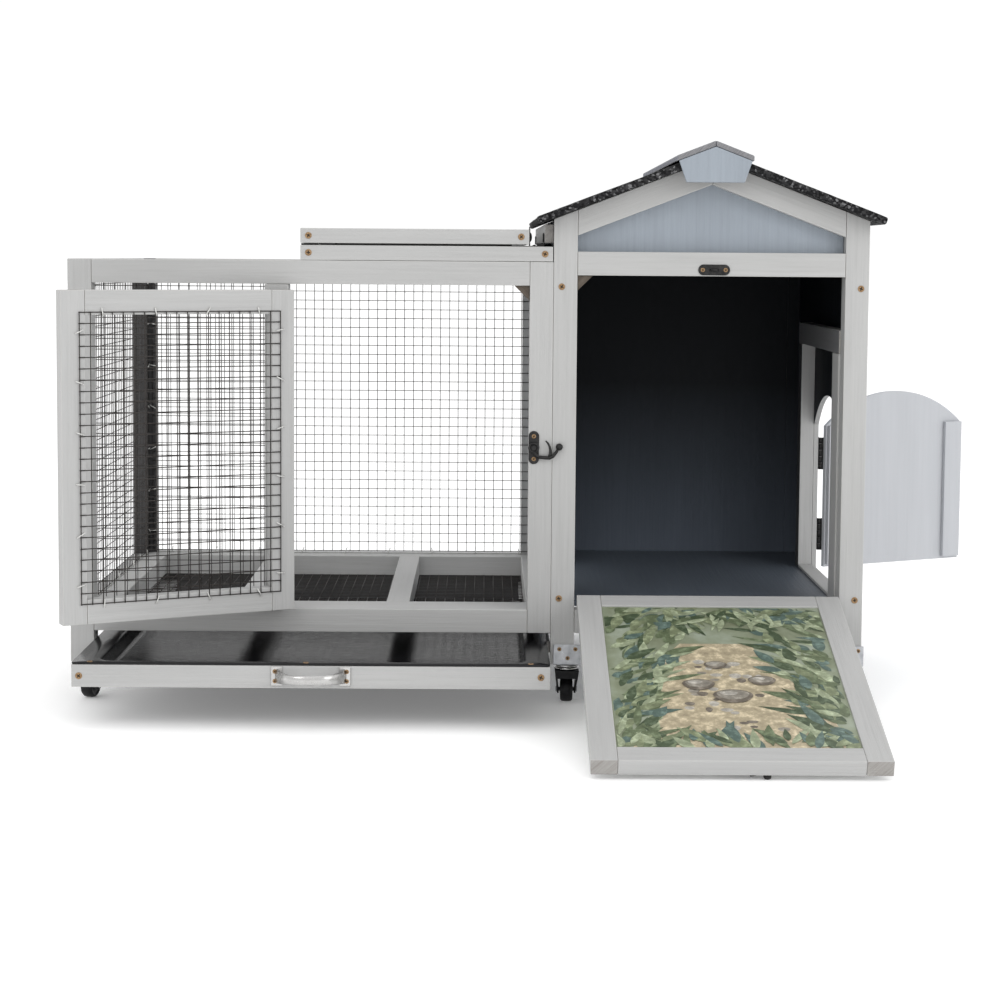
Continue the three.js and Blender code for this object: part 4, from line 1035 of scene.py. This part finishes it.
def leaf(u, v, length, width, angle, tone):
    """A pointed leaf with its stalk end at (u, v)."""
    outline = []
    for k in range(13):
        t = k / 12
        outline.append((t * length, width * math.sin(math.pi * t ** 0.8) * (1 - 0.25 * t)))
    outline += [(x, -y) for x, y in reversed(outline[1:-1])]
    c, s = math.cos(angle), math.sin(angle)
    mark([(u + (x * c - y * s) * span_z / span_x, v + x * s + y * c) for x, y in outline], tone)


def stone(u, v, width, height, tone):
    """A rounded stone lying on the path."""
    outline = [(u + width * math.cos(t) * (1 + 0.08 * math.sin(3 * t)), v + height * math.sin(t))
               for t in around(22)]
    mark(outline, tone)


path_steps = [0.72 * k / 16 for k in range(17)]
path_left = [(0.06 + 0.05 * math.sin(v * 9.0) + 0.36 * v, v) for v in path_steps]
path_right = [(0.94 + 0.05 * math.sin(v * 7.0) - 0.34 * v, v) for v in path_steps]
mark(path_left + list(reversed(path_right)), PATH_INK)
for k in range(34):
    v = chance.uniform(0.12, 0.62)
    u = 0.50 + chance.uniform(-0.3, 0.3) * (1 - v)
    stone(u, v, chance.uniform(0.012, 0.03), chance.uniform(0.008, 0.018), FIRST_STONE + chance.randrange(3))
for k in range(300):
    side = chance.choice((0, 1))
    v = chance.uniform(-0.02, 1.0)
    reach = (0.12 + 0.26 * v) * chance.random() ** 1.3
    u = reach if side == 0 else 1 - reach
    angle = chance.uniform(0.1, 1.5) if side == 0 else chance.uniform(1.6, 3.0)
    leaf(u, v, chance.uniform(0.06, 0.17), chance.uniform(0.010, 0.026), angle, chance.randrange(FIRST_STONE))
# A row of leaves along the path's near end and another along its far end
for count, *ranges in ((80, (0.88, 0.99), (0.06, 0.14), (0.01, 0.024), (3.4, 6.0)),
                       (60, (-0.02, 0.05), (0.07, 0.15), (0.012, 0.022), (0.5, 2.6))):
    for k in range(count):
        leaf(chance.random(), *[chance.uniform(*span) for span in ranges], chance.randrange(FIRST_STONE))
for u, v, size in ((0.38, 0.42, 0.07), (0.52, 0.34, 0.085), (0.66, 0.45, 0.06), (0.47, 0.56, 0.05)):
    stone(u, v, size, size * 0.55, FIRST_STONE)
    stone(u, v + size * 0.12, size * 0.82, size * 0.38, FIRST_STONE + 1)
    stone(u - size * 0.2, v + size * 0.22, size * 0.45, size * 0.16, FIRST_STONE + 2)
add_piece("drop_door_print", bm, inks, "drop_door", "printed_board", place=rest_from_shut)

surface_hinges("drop_door", (("left", low.x + 0.055), ("right", high.x - 0.055)), 0, 2, front_face, 1,
               HINGE_LENGTH, rest_from_shut)

# --------------------------------------
# Side door: an arched board painted pale blue-grey, stiffened by a batten along each upright edge,
# on two black hinges at the back of its doorway.
# --------------------------------------
PALE = ((0.438, 0.450, 0.474), (0.452, 0.464, 0.488), (0.466, 0.478, 0.502))
pale_wood = painted_wood("pale_blue_grey_door", *PALE, 0.5, streak_scale=0.7, bump=0.35)
BOARD_THICK = 0.006
rest_from_shut = swing("side_door_hinge", -1.0)
low, high = shut_box("side_door", "side_door_hinge")
ARCH_RISE = 0.0445
shoulder = high.z - ARCH_RISE
half = (high.y - low.y) / 2
radius = (half * half + ARCH_RISE * ARCH_RISE) / (2 * ARCH_RISE)
start = math.atan2(radius - ARCH_RISE, half)
face_x = high.x - BOARD_THICK
centre_y, centre_z = (low.y + high.y) / 2, high.z - radius
outline = [(face_x, low.y, low.z), (face_x, high.y, low.z)]
for k in range(25):
    angle = start + (math.pi - 2 * start) * k / 24
    outline.append((face_x, centre_y + radius * math.cos(angle), centre_z + radius * math.sin(angle)))
board("side_door_board", outline, (BOARD_THICK, 0.0, 0.0), (0, 0, 1), "side_door", "pale_door_board",
      [pale_wood], ["side_door"], rest_from_shut, ease=0.0006)
STRIP_FOOT = 0.0035
STRIP_INSET = 0.002
for tag, y in (("free", low.y + STRIP_INSET), ("hinge", high.y - BATTEN - STRIP_INSET)):
    batten(f"side_door_{tag}_batten", (low.x, y, low.z + STRIP_FOOT),
           (face_x - JOINT_GAP, y + BATTEN, shoulder + 0.0005), "side_door", "pale_door_board",
           place=rest_from_shut, materials=[pale_wood])
SIDE_HINGE = 0.043
wall_x = high.x + 2 * JOINT_GAP
surface_hinges("side_door", (("upper", high.z - 0.082), ("lower", low.z + 0.0437)), 2, 1,
               (wall_x, wall_x + LEAF_SHEET), -1, SIDE_HINGE, rest_from_shut)

# --------------------------------------
# Lid of the run: two batten frames with wire, hinged to each other and to the house. The left leaf
# lies folded over the right one. Front and back battens run through and are screwed into the ends.
# --------------------------------------
for leaf_name in ("lid_right", "lid_left"):
    low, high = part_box(leaf_name + "_frame")
    for tag, y0, y1 in (("front", low.y, low.y + BATTEN), ("back", high.y - BATTEN, high.y)):
        covers = [leaf_name + "_frame"] if tag == "front" else ()
        batten(f"{leaf_name}_{tag}_batten", (low.x, y0, low.z), (high.x, y1, high.z), leaf_name,
               covers=covers)
    for tag, x0, x1 in (("near", low.x, low.x + BATTEN), ("far", high.x - BATTEN, high.x)):
        batten(f"{leaf_name}_{tag}_end", (x0, low.y + BATTEN + JOINT_GAP, low.z),
               (x1, high.y - BATTEN - JOINT_GAP, high.z), leaf_name)
    wire_low, wire_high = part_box(leaf_name + "_mesh")
    wire_panel(leaf_name + "_wires", wire_low, wire_high, 2, leaf_name, [leaf_name + "_mesh"], side=0.0)
    middle = (low.z + high.z) / 2
    spots = [(x, low.y, middle) for x in (low.x + SCREW_IN, high.x - SCREW_IN)]
    screws(leaf_name + "_screws", spots, FRONT, leaf_name)

pivot = Vector(joints["lid_left_hinge"]["pos_m"])
lower_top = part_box("lid_right_frame")[1].z
upper_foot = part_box("lid_left_frame")[0].z
lid_low, lid_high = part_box("lid_right_frame")
for tag, y in (("front", lid_low.y + 0.05), ("back", lid_high.y - 0.05)):
    centre = Vector((pivot.x, y, pivot.z))
    ys = (y - HINGE_LENGTH / 2, y + HINGE_LENGTH / 2)
    fixed = ((pivot.x + 0.001, ys[0], lower_top + 0.0002), (pivot.x + 0.013, ys[1], lower_top + 0.001))
    moving = ((pivot.x + 0.001, ys[0], upper_foot - 0.001), (pivot.x + 0.013, ys[1], upper_foot - 0.0002))
    hinge(f"lid_fold_{tag}_hinge", centre, HINGE_LENGTH, 1, (fixed, moving), ("lid_right", "lid_left"),
          knuckle=KNUCKLE / 2)
# Folding stays show at the leaves' front edge, one screwed to each leaf, and a bracket under the hinge board
STAY_DEPTH = 0.012
lid_steel = []
for tag, body, x0, x1 in (("right", "lid_right", 0.279, 0.295), ("left", "lid_left", 0.301, 0.315)):
    lid_steel.append((f"lid_{tag}_stay", body, (run_left_x + x0, lid_low.y + 0.0003, lower_top + JOINT_GAP),
                      (run_left_x + x1, lid_low.y + STAY_DEPTH, upper_foot - JOINT_GAP)))
board_low, board_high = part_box("lid_hinge_board")
lid_steel.append(("lid_house_bracket", "hutch",
                  (board_low.x - 0.009, board_low.y + 0.001, board_low.z - 0.007),
                  (board_low.x - 0.0004, board_low.y + STAY_DEPTH, board_low.z - 0.0006)))
for name, body, low, high in lid_steel:
    bm = bmesh.new()
    plate(bm, low, high)
    add_piece(name, bm, [black_steel], body, "black_hardware")
for tag, y in (("front", board_low.y + 0.03), ("back", board_high.y - 0.03)):
    ys = (y - HINGE_LENGTH / 2, y + HINGE_LENGTH / 2)
    edge_x = board_low.x - 0.0026
    centre = Vector((edge_x, y, lower_top + 0.0026))
    fixed = ((board_low.x - LEAF_SHEET, ys[0], board_low.z + 0.001),
             (board_low.x - JOINT_GAP, ys[1], board_low.z + 0.012))
    moving = ((edge_x - 0.012, ys[0], lower_top + 0.0002), (edge_x - 0.001, ys[1], lower_top + 0.0014))
    hinge(f"lid_house_{tag}_hinge", centre, HINGE_LENGTH, 1, (fixed, moving), ("hutch", "lid_right"))

# --------------------------------------
# Keepers: small black plates with rounded ends and a raised eye. One is on the house's top rail and one on
# the mesh door, each fixed with brass screws, and one is on the free end of the lid without screws.
# --------------------------------------
PLATE_THICK = 0.0014


def oblong_plate(bm, length, width, thick, sides=32):
    """A plate with round ends, its long side along X and its thickness along Z, with an eased rim."""
    half = length / 2 - width / 2
    loops = []
    for inset, z in ((0.0, 0.0), (0.0, thick * 0.6), (thick * 0.35, thick)):
        ring = []
        for k, angle in enumerate(around(sides)):
            out = Vector((math.sin(angle), -math.cos(angle), 0.0)) * (width / 2 - inset)
            ring.append(bm.verts.new(out + Vector((half if 2 * k < sides else -half, 0.0, z))))
        loops.append(ring)
    skin(bm, loops, smooth=False)


def bent_rod(bm, points, radii, sides=10, closed=False):
    """A round bar through points, with a radius at each point; its ends are flat, or joined if closed."""
    points = [Vector(p) for p in points]
    rings = []
    side = None
    for k, point in enumerate(points):
        before = points[k - 1] if k > 0 or closed else point
        after = points[(k + 1) % len(points)] if k < len(points) - 1 or closed else point
        axis = (after - before).normalized()
        if side is None:
            side = axis.orthogonal().normalized()
        side = (side - axis * side.dot(axis)).normalized()
        up = axis.cross(side)
        ring = [point + (side * math.cos(t) + up * math.sin(t)) * radii[k] for t in around(sides)]
        rings.append([bm.verts.new(spot) for spot in ring])
    skin(bm, rings, capped=not closed, looped=closed)


KEEPER_LENGTH = 0.0375
LID_KEEPER = 0.0250
KEEPER_WIDTH = 0.0128
PLATE_SCREW = 0.0135
SMALL_SCREW = 0.0026


def plate_screws(name, place, body):
    """A small screw at each end of a plate that lies in the XY plane of place."""
    spots = [place @ Vector((x, 0.0, PLATE_THICK)) for x in (-PLATE_SCREW, PLATE_SCREW)]
    screws(name + "_screws", spots, place.to_3x3() @ Vector((0.0, 0.0, 1.0)), body, radius=SMALL_SCREW)


def keeper(name, place, body, length=KEEPER_LENGTH, eye=0.0052, screwed=True):
    """A keeper plate lying in the XY plane of place, with its eye standing eye high along Z."""
    bm = bmesh.new()
    oblong_plate(bm, length, KEEPER_WIDTH, PLATE_THICK)
    arch = [math.pi * k / 10 for k in range(11)]
    points = [(0.0046 * math.cos(t), 0.0, PLATE_THICK * 0.5 + eye * math.sin(t)) for t in arch]
    bent_rod(bm, points, [0.0013] * len(points))
    solid_piece(name, bm, black_steel, body, "black_hardware", place=place)
    if screwed:
        plate_screws(name, place, body)


def facing(place, out, long_side):
    """A matrix at place whose Z points out and whose X runs along long_side."""
    z = Vector(out).normalized()
    x = Vector(long_side).normalized()
    y = z.cross(x)
    rotation = Matrix((x, y, z)).transposed().to_4x4()
    return Matrix.Translation(place) @ rotation


rail_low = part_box("house_front_top_rail")[0]
above_door = (ridge_x + 0.0028, rail_low.y - 0.0001, rail_low.z + 0.0075)
keeper("house_keeper", facing(above_door, FRONT, (1, 0, 0)), "hutch")
left_low, left_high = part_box("lid_left_frame")
end_face = (left_high.x + 0.0001, (left_low.y + left_high.y) / 2 - 0.23, (left_low.z + left_high.z) / 2)
keeper("lid_keeper", facing(end_face, (1, 0, 0), (0, 0, 1)), "lid_left", length=LID_KEEPER, eye=0.0016,
       screwed=False)
door_high = shut_box("mesh_door_frame", "mesh_door_hinge")[1]
latch_z = (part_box("run_latch_plate")[0].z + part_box("run_latch_plate")[1].z) / 2
on_door = facing((door_high.x - 0.0105, front_y - 0.0001, latch_z), FRONT, (0, 0, 1))
keeper("mesh_door_keeper", swing("mesh_door_hinge", -1.0) @ on_door, "mesh_door")

# --------------------------------------
# Hook latches: a black plate with round ends carries a riveted hook that ends in a ball, with a
# curved horn that drops over the keeper's eye. One is on the run's post, one on the ramp's outer face.
# --------------------------------------
LATCH_LENGTH = 0.0394
LATCH_WIDTH = 0.0126
RIVET = 0.0032
RIVET_TOP = 0.0056
HOOK_LIFT = 0.0038
HOOK_RING = 0.0052
HOOK_BAR = 0.0016
BALL = 0.0043
# Bends of the hook's arm and of its horn in the plane of the plate, each with the bar's radius there
HOOK_ARM = ((0.0008, -0.0044, 0.0019), (0.0026, -0.0092, 0.0021), (0.0064, -0.0111, 0.0022),
            (0.0130, -0.0116, 0.0022), (0.0189, -0.0119, 0.0022), (0.0230, -0.0098, 0.0021),
            (0.0262, -0.0058, 0.0019), (0.0302, 0.0012, 0.0014))
HOOK_HORN = ((0.0186, -0.0112, 0.0019), (0.0196, -0.0072, 0.0018), (0.0196, -0.0025, 0.0016),
             (0.0186, 0.0018, 0.0014), (0.0168, 0.0055, 0.0012), (0.0140, 0.0085, 0.0008))


def latch(tag, joint, outward, hook_turn, plate_turn, plate_body, hook_body):
    """A plate and hook on the hook's joint, outward from the plate; hook_turn is the hook's angle at rest."""
    base = facing(Vector(joints[joint]["pos_m"]), outward, (1, 0, 0))
    bm = bmesh.new()
    oblong_plate(bm, LATCH_LENGTH, LATCH_WIDTH, PLATE_THICK)
    rod(bm, (0, 0, PLATE_THICK * 0.5), (0, 0, RIVET_TOP), RIVET, 18)
    plate_place = base @ Matrix.Rotation(plate_turn, 4, "Z")
    solid_piece(tag + "_plate", bm, black_steel, plate_body, "black_hardware", [tag + "_plate"], plate_place)
    plate_screws(tag, plate_place, plate_body)
    bm = bmesh.new()
    ring = around(24)
    bent_rod(bm, [(HOOK_RING * math.cos(t), HOOK_RING * math.sin(t), HOOK_LIFT) for t in ring],
             [HOOK_BAR] * len(ring), closed=True)
    for bends in (HOOK_ARM, HOOK_HORN):
        bent_rod(bm, [(x, y, HOOK_LIFT) for x, y, _ in bends], [radius for _, _, radius in bends])
    ball = bmesh.ops.create_uvsphere(bm, u_segments=20, v_segments=12, radius=BALL)["verts"]
    bmesh.ops.translate(bm, vec=(HOOK_ARM[-1][0], HOOK_ARM[-1][1], HOOK_LIFT), verts=ball)
    for v in ball:
        for f in v.link_faces:
            f.smooth = True
    solid_piece(tag + "_hook", bm, black_steel, hook_body, "black_hardware", [tag + "_hook"],
                base @ Matrix.Rotation(hook_turn, 4, "Z"))


latch("run_latch", "run_hook_turn", FRONT, 0.0, math.pi / 2, "hutch", "run_hook")
latch("drop_latch", "drop_hook_turn", joints["drop_hook_turn"]["axis"], math.radians(25), 0.0, "drop_door",
      "drop_hook")

# --------------------------------------
# Tray: a grey wooden front with a chrome bow handle, and behind it a thermoformed liner of glossy
# black plastic whose flange lies on the front and on the runners.
# --------------------------------------
low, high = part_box("tray_front_panel")
batten("tray_front_wood", low, high, "tray", covers=["tray_front_panel"])
middle = (low.z + high.z) / 2
spots = [(low.x + 0.0085, low.y, middle), (high.x - 0.0105, low.y, middle + 0.001)]
screws("tray_front_screws", spots, FRONT, "tray")

gloss_plastic, tree, shader = principled("glossy_black_liner", (0.006, 0.006, 0.007), 0.2)
shader.inputs["Specular IOR Level"].default_value = 0.25
place = texture_vector(tree, "Object")
uneven = noise_node(tree, place, 9.0, 2.0, 0.5)
scuff = noise_node(tree, stretched(tree, place, (60.0, 900.0, 60.0)), 1.0, 3.0, 0.6)
SCUFFS = [(0.45, (0.20, 0.20, 0.20)), (0.8, (0.32, 0.32, 0.32))]
tree.links.new(ramp(tree, scuff, SCUFFS), shader.inputs["Roughness"])
relief(tree, shader, uneven, 0.35, 0.004)

low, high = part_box("tray_liner")
LINER_SKIN = 0.0016
# Rings of the upper skin: how far in from the flange's sides and ends, how deep, and the corner radius
LINER_RINGS = ((0.0, 0.0, 0.0, 0.004), (0.0262, 0.0122, 0.0, 0.020), (0.0278, 0.0138, 0.0008, 0.021),
               (0.0288, 0.0148, 0.0030, 0.022), (0.0302, 0.0162, 0.0165, 0.024),
               (0.0320, 0.0180, 0.0192, 0.026), (0.0355, 0.0215, 0.0200, 0.028), (0.11, 0.10, 0.0197, 0.030),
               (0.20, 0.18, 0.0194, 0.030))


def rounded_ring(bm, low, high, inset_x, inset_y, z, radius, sides=6):
    """A rectangle with round corners at height z, as a closed ring of vertices."""
    ring = []
    x0, x1 = low.x + inset_x + radius, high.x - inset_x - radius
    y0, y1 = low.y + inset_y + radius, high.y - inset_y - radius
    for quarter, (cx, cy) in enumerate(((x1, y1), (x0, y1), (x0, y0), (x1, y0))):
        for k in range(sides + 1):
            angle = math.pi / 2 * (quarter + k / sides)
            ring.append(bm.verts.new((cx + radius * math.cos(angle), cy + radius * math.sin(angle), z)))
    return ring


bm = bmesh.new()
rims = []
for top in (high.z, high.z - LINER_SKIN):
    rings = [rounded_ring(bm, low, high, x, y, top - deep, radius) for x, y, deep, radius in LINER_RINGS]
    skin(bm, rings, capped=False)
    bm.faces.new(rings[-1])
    rims.append(rings[0])
skin(bm, rims, smooth=False, capped=False)
solid_piece("tray_liner_shell", bm, gloss_plastic, "tray", "tray_plastic", ["tray_liner"])
flange_y = low.y + 0.0062
flange_xs = (low.x + 0.020, (low.x + high.x) / 2 - 0.006, high.x - 0.022)
screws("tray_flange_screws", [(x, flange_y, high.z) for x in flange_xs], (0, 0, 1), "tray", radius=0.0034)

chrome = speckled("bright_chrome", (0.54, 0.535, 0.525), (0.46, 0.455, 0.45), 0.26, 1.0, 60.0)
low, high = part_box("tray_handle")
centre_x = (low.x + high.x) / 2
half = (high.x - low.x) / 2
middle = (low.z + high.z) / 2
FOOT = 0.013
FOOT_SHEET = 0.0016
FOOT_SCREW_INSET = Vector((0.0045, 0.0, 0.0055))
BOW_THIN = 0.0026
BOW_TALL = 0.0052
BOW_FLARE = 0.0085
BOW_ROOT = 0.0012
BOW_BEND = 3.2
BOW_STEPS = 40
bow_reach = high.y - low.y - BOW_THIN - BOW_ROOT
bm = bmesh.new()
for way in (-1, 1):
    x0, x1 = sorted((centre_x + way * half, centre_x + way * (half - FOOT)))
    plate(bm, (x0, high.y - FOOT_SHEET, low.z), (x1, high.y, high.z), 0.0005)
rings = []
for k in range(BOW_STEPS + 1):
    lean = 2 * k / BOW_STEPS - 1
    out = high.y - BOW_ROOT - bow_reach * (1 - abs(lean) ** BOW_BEND)
    centre = Vector((centre_x + lean * (half - FOOT * 0.55), out, middle))
    steep = bow_reach * BOW_BEND * abs(lean) ** (BOW_BEND - 1) * math.copysign(1.0, lean) / half
    normal = Vector((-steep, 1.0, 0.0)).normalized() * BOW_THIN
    tall = Vector((0.0, 0.0, BOW_TALL + (BOW_FLARE - BOW_TALL) * lean ** 4))
    rings.append([bm.verts.new(centre + normal * math.cos(t) + tall * math.sin(t)) for t in around(20)])
skin(bm, rings)
solid_piece("tray_bow_handle", bm, chrome, "tray", "bright_chrome", ["tray_handle"])
handle_spots = [(centre_x + way * (half - FOOT_SCREW_INSET.x), high.y - FOOT_SHEET - 0.0001, z)
                for way in (-1, 1) for z in (low.z + FOOT_SCREW_INSET.z, high.z - FOOT_SCREW_INSET.z)]
screws("tray_handle_screws", handle_spots, FRONT, "tray", radius=SMALL_SCREW)

# --------------------------------------
# Casters: a zinc angle bracket screwed to each post, two pressed swivel rings, a black moulded
# fork with a hood, and a black wheel on a steel axle.
# --------------------------------------
zinc = speckled("zinc_bracket", (0.52, 0.53, 0.55), (0.36, 0.37, 0.39), 0.32, 1.0, 120.0)
MOULDED = ((0.007, 0.007, 0.008), (0.014, 0.014, 0.015))
black_plastic = speckled("black_moulded_plastic", *MOULDED, 0.42, 0.0, 200.0)
black_plastic.node_tree.nodes["Principled BSDF"].inputs["Specular IOR Level"].default_value = 0.2
BRACKET_WIDTH = 0.033
BRACKET_HEIGHT = 0.0247
BRACKET_SHEET = 0.0015


def lathe(bm, centre, axis, profile, sides=28):
    """A turned ring from a closed profile of (radius, height) points around an axis."""
    axis = Vector(axis).normalized()
    side = axis.orthogonal().normalized()
    up = axis.cross(side)
    rings = []
    for angle in around(sides):
        out = side * math.cos(angle) + up * math.sin(angle)
        rings.append([bm.verts.new(Vector(centre) + out * r + axis * h) for r, h in profile])
    skin(bm, rings, capped=False, looped=True)


CASTERS = ("run_front", "run_back", "house_front_left", "house_back_left", "house_front_right",
           "house_back_right")
BRACKET_SCREWS = ((0.22, 0.78), (0.80, 0.78), (0.52, 0.34))
# Turned profiles, as (radius, height) points: each pressed ring hangs from the top of the fork
UPPER_RING = ((0.004, -0.0001), (0.0135, -0.0001), (0.0148, -0.0010), (0.0135, -0.0021), (0.004, -0.0025))
LOWER_RING = ((0.004, -0.0031), (0.0125, -0.0028), (0.0146, -0.0041), (0.0125, -0.0057), (0.004, -0.0061))
RINGS_DEPTH = 0.0062
CHEEK_INNER = 0.0090
CHEEK_OUTER = 0.0112
CHEEK_FLARE = 0.0033
HOOD_HALF = 0.0145
HOOD_FOOT_HALF = 0.0130
HOOD_CLEARANCE = 0.0012
AXLE = 0.0024
AXLE_HALF = 0.0118
AXLE_HEAD = ((AXLE, AXLE_HALF), (0.0036, AXLE_HALF), (0.0036, 0.0128), (0.0001, 0.0132), (0.0001, 0.0119))
WHEEL_HALF = 0.0075
depth_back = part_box("run_back_frame")[1].y
for tag in CASTERS:
    swivel = Vector(joints[tag + "_caster_swivel"]["pos_m"])
    axle = Vector(joints[tag + "_wheel_spin"]["pos_m"])
    across = Vector(joints[tag + "_wheel_spin"]["axis"]).normalized()
    forward = Vector((-across.y, across.x, 0.0))
    stem = Vector((swivel.x, swivel.y, 0.0))
    radius = axle.z
    fork_body = tag + "_swivel_fork"
    fork_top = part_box(tag + "_caster_fork")[1].z

    # Bracket: on the outer face of its post, except the run's front one, which is on the back face
    out = -1 if "front" in tag and tag != "run_front" else 1
    wall_y = depth_back if "back" in tag else front_y if out < 0 else front_y + BATTEN
    x0, x1 = swivel.x - BRACKET_WIDTH / 2, swivel.x + BRACKET_WIDTH / 2
    if tag.startswith("run"):
        x0, x1 = run_left_x - 0.0005, run_left_x + BRACKET_WIDTH - 0.004
    face_at = wall_y + out * (JOINT_GAP + BRACKET_SHEET)
    ys = sorted((wall_y + out * JOINT_GAP, face_at))
    bm = bmesh.new()
    plate(bm, (x0, ys[0], fork_top + 0.0004), (x1, ys[1], fork_top + BRACKET_HEIGHT))
    solid_piece(tag + "_caster_bracket", bm, zinc, "hutch", "bright_chrome")
    spots = [(x0 + (x1 - x0) * u, face_at, fork_top + BRACKET_HEIGHT * v) for u, v in BRACKET_SCREWS]
    screws(tag + "_bracket_screws", spots, (0, out, 0), "hutch", radius=SMALL_SCREW)

    # Swivel rings
    bm = bmesh.new()
    for profile in (UPPER_RING, LOWER_RING):
        lathe(bm, (swivel.x, swivel.y, fork_top), (0, 0, 1), profile)
    solid_piece(tag + "_swivel_rings", bm, chrome, fork_body, "bright_chrome", [tag + "_caster_fork"])

    # Fork: two cheeks that flare upward, joined by a hood over the wheel
    hood_top = fork_top - RINGS_DEPTH
    hood_low = axle.z + radius + HOOD_CLEARANCE
    cheek = ((-HOOD_HALF, hood_top), (HOOD_HALF, hood_top), (0.0150, axle.z + 0.009),
             (0.0138, axle.z - 0.002), (0.0105, axle.z - 0.0055), (0.0060, axle.z - 0.0050),
             (0.0010, axle.z + 0.001), (-0.0115, hood_top - 0.011))
    bm = bmesh.new()
    for way in (-1, 1):
        sides = []
        for reach in (CHEEK_INNER, CHEEK_OUTER):
            side = []
            for u, z in cheek:
                flare = CHEEK_FLARE * max(0.0, z - axle.z) / (hood_top - axle.z)
                spot = stem + forward * u + across * way * (reach + flare)
                side.append(bm.verts.new((spot.x, spot.y, z)))
            sides.append(side)
        skin(bm, sides, smooth=False)
    hood = []
    for z, half in ((hood_top, HOOD_HALF), (hood_low, HOOD_FOOT_HALF)):
        corners = ((-HOOD_HALF, -half), (HOOD_HALF, -half), (HOOD_HALF, half), (-HOOD_HALF, half))
        spots = [stem + forward * u + across * v for u, v in corners]
        hood.append([bm.verts.new((spot.x, spot.y, z)) for spot in spots])
    skin(bm, hood, smooth=False)
    soften = solid_piece(tag + "_fork_hood", bm, black_plastic, fork_body, "wheel_plastic").modifiers.new(
        "moulded_edges", "BEVEL")
    soften.width = 0.0007
    soften.segments = 2

    # Axle with a riveted head at each end, and the wheel
    bm = bmesh.new()
    rod(bm, axle - across * AXLE_HALF, axle + across * AXLE_HALF, AXLE, 16)
    for way in (1, -1):
        lathe(bm, axle, across, [(r, h * way) for r, h in AXLE_HEAD], 16)
    solid_piece(tag + "_caster_axle", bm, zinc, fork_body, "bright_chrome")
    half_tread = [(0.0031, WHEEL_HALF), (0.0060, WHEEL_HALF), (0.0066, WHEEL_HALF - 0.0012),
                  (0.0112, WHEEL_HALF - 0.0012), (0.0120, WHEEL_HALF - 0.0002),
                  (radius - 0.0022, WHEEL_HALF - 0.0002), (radius - 0.0006, WHEEL_HALF - 0.0018),
                  (radius - 0.0001, 0.0030)]
    bm = bmesh.new()
    lathe(bm, axle, across, [(r, -h) for r, h in half_tread] + list(reversed(half_tread)), 40)
    solid_piece(tag + "_caster_tyre", bm, black_plastic, tag + "_wheel", "wheel_plastic",
                [tag + "_caster_wheel"])
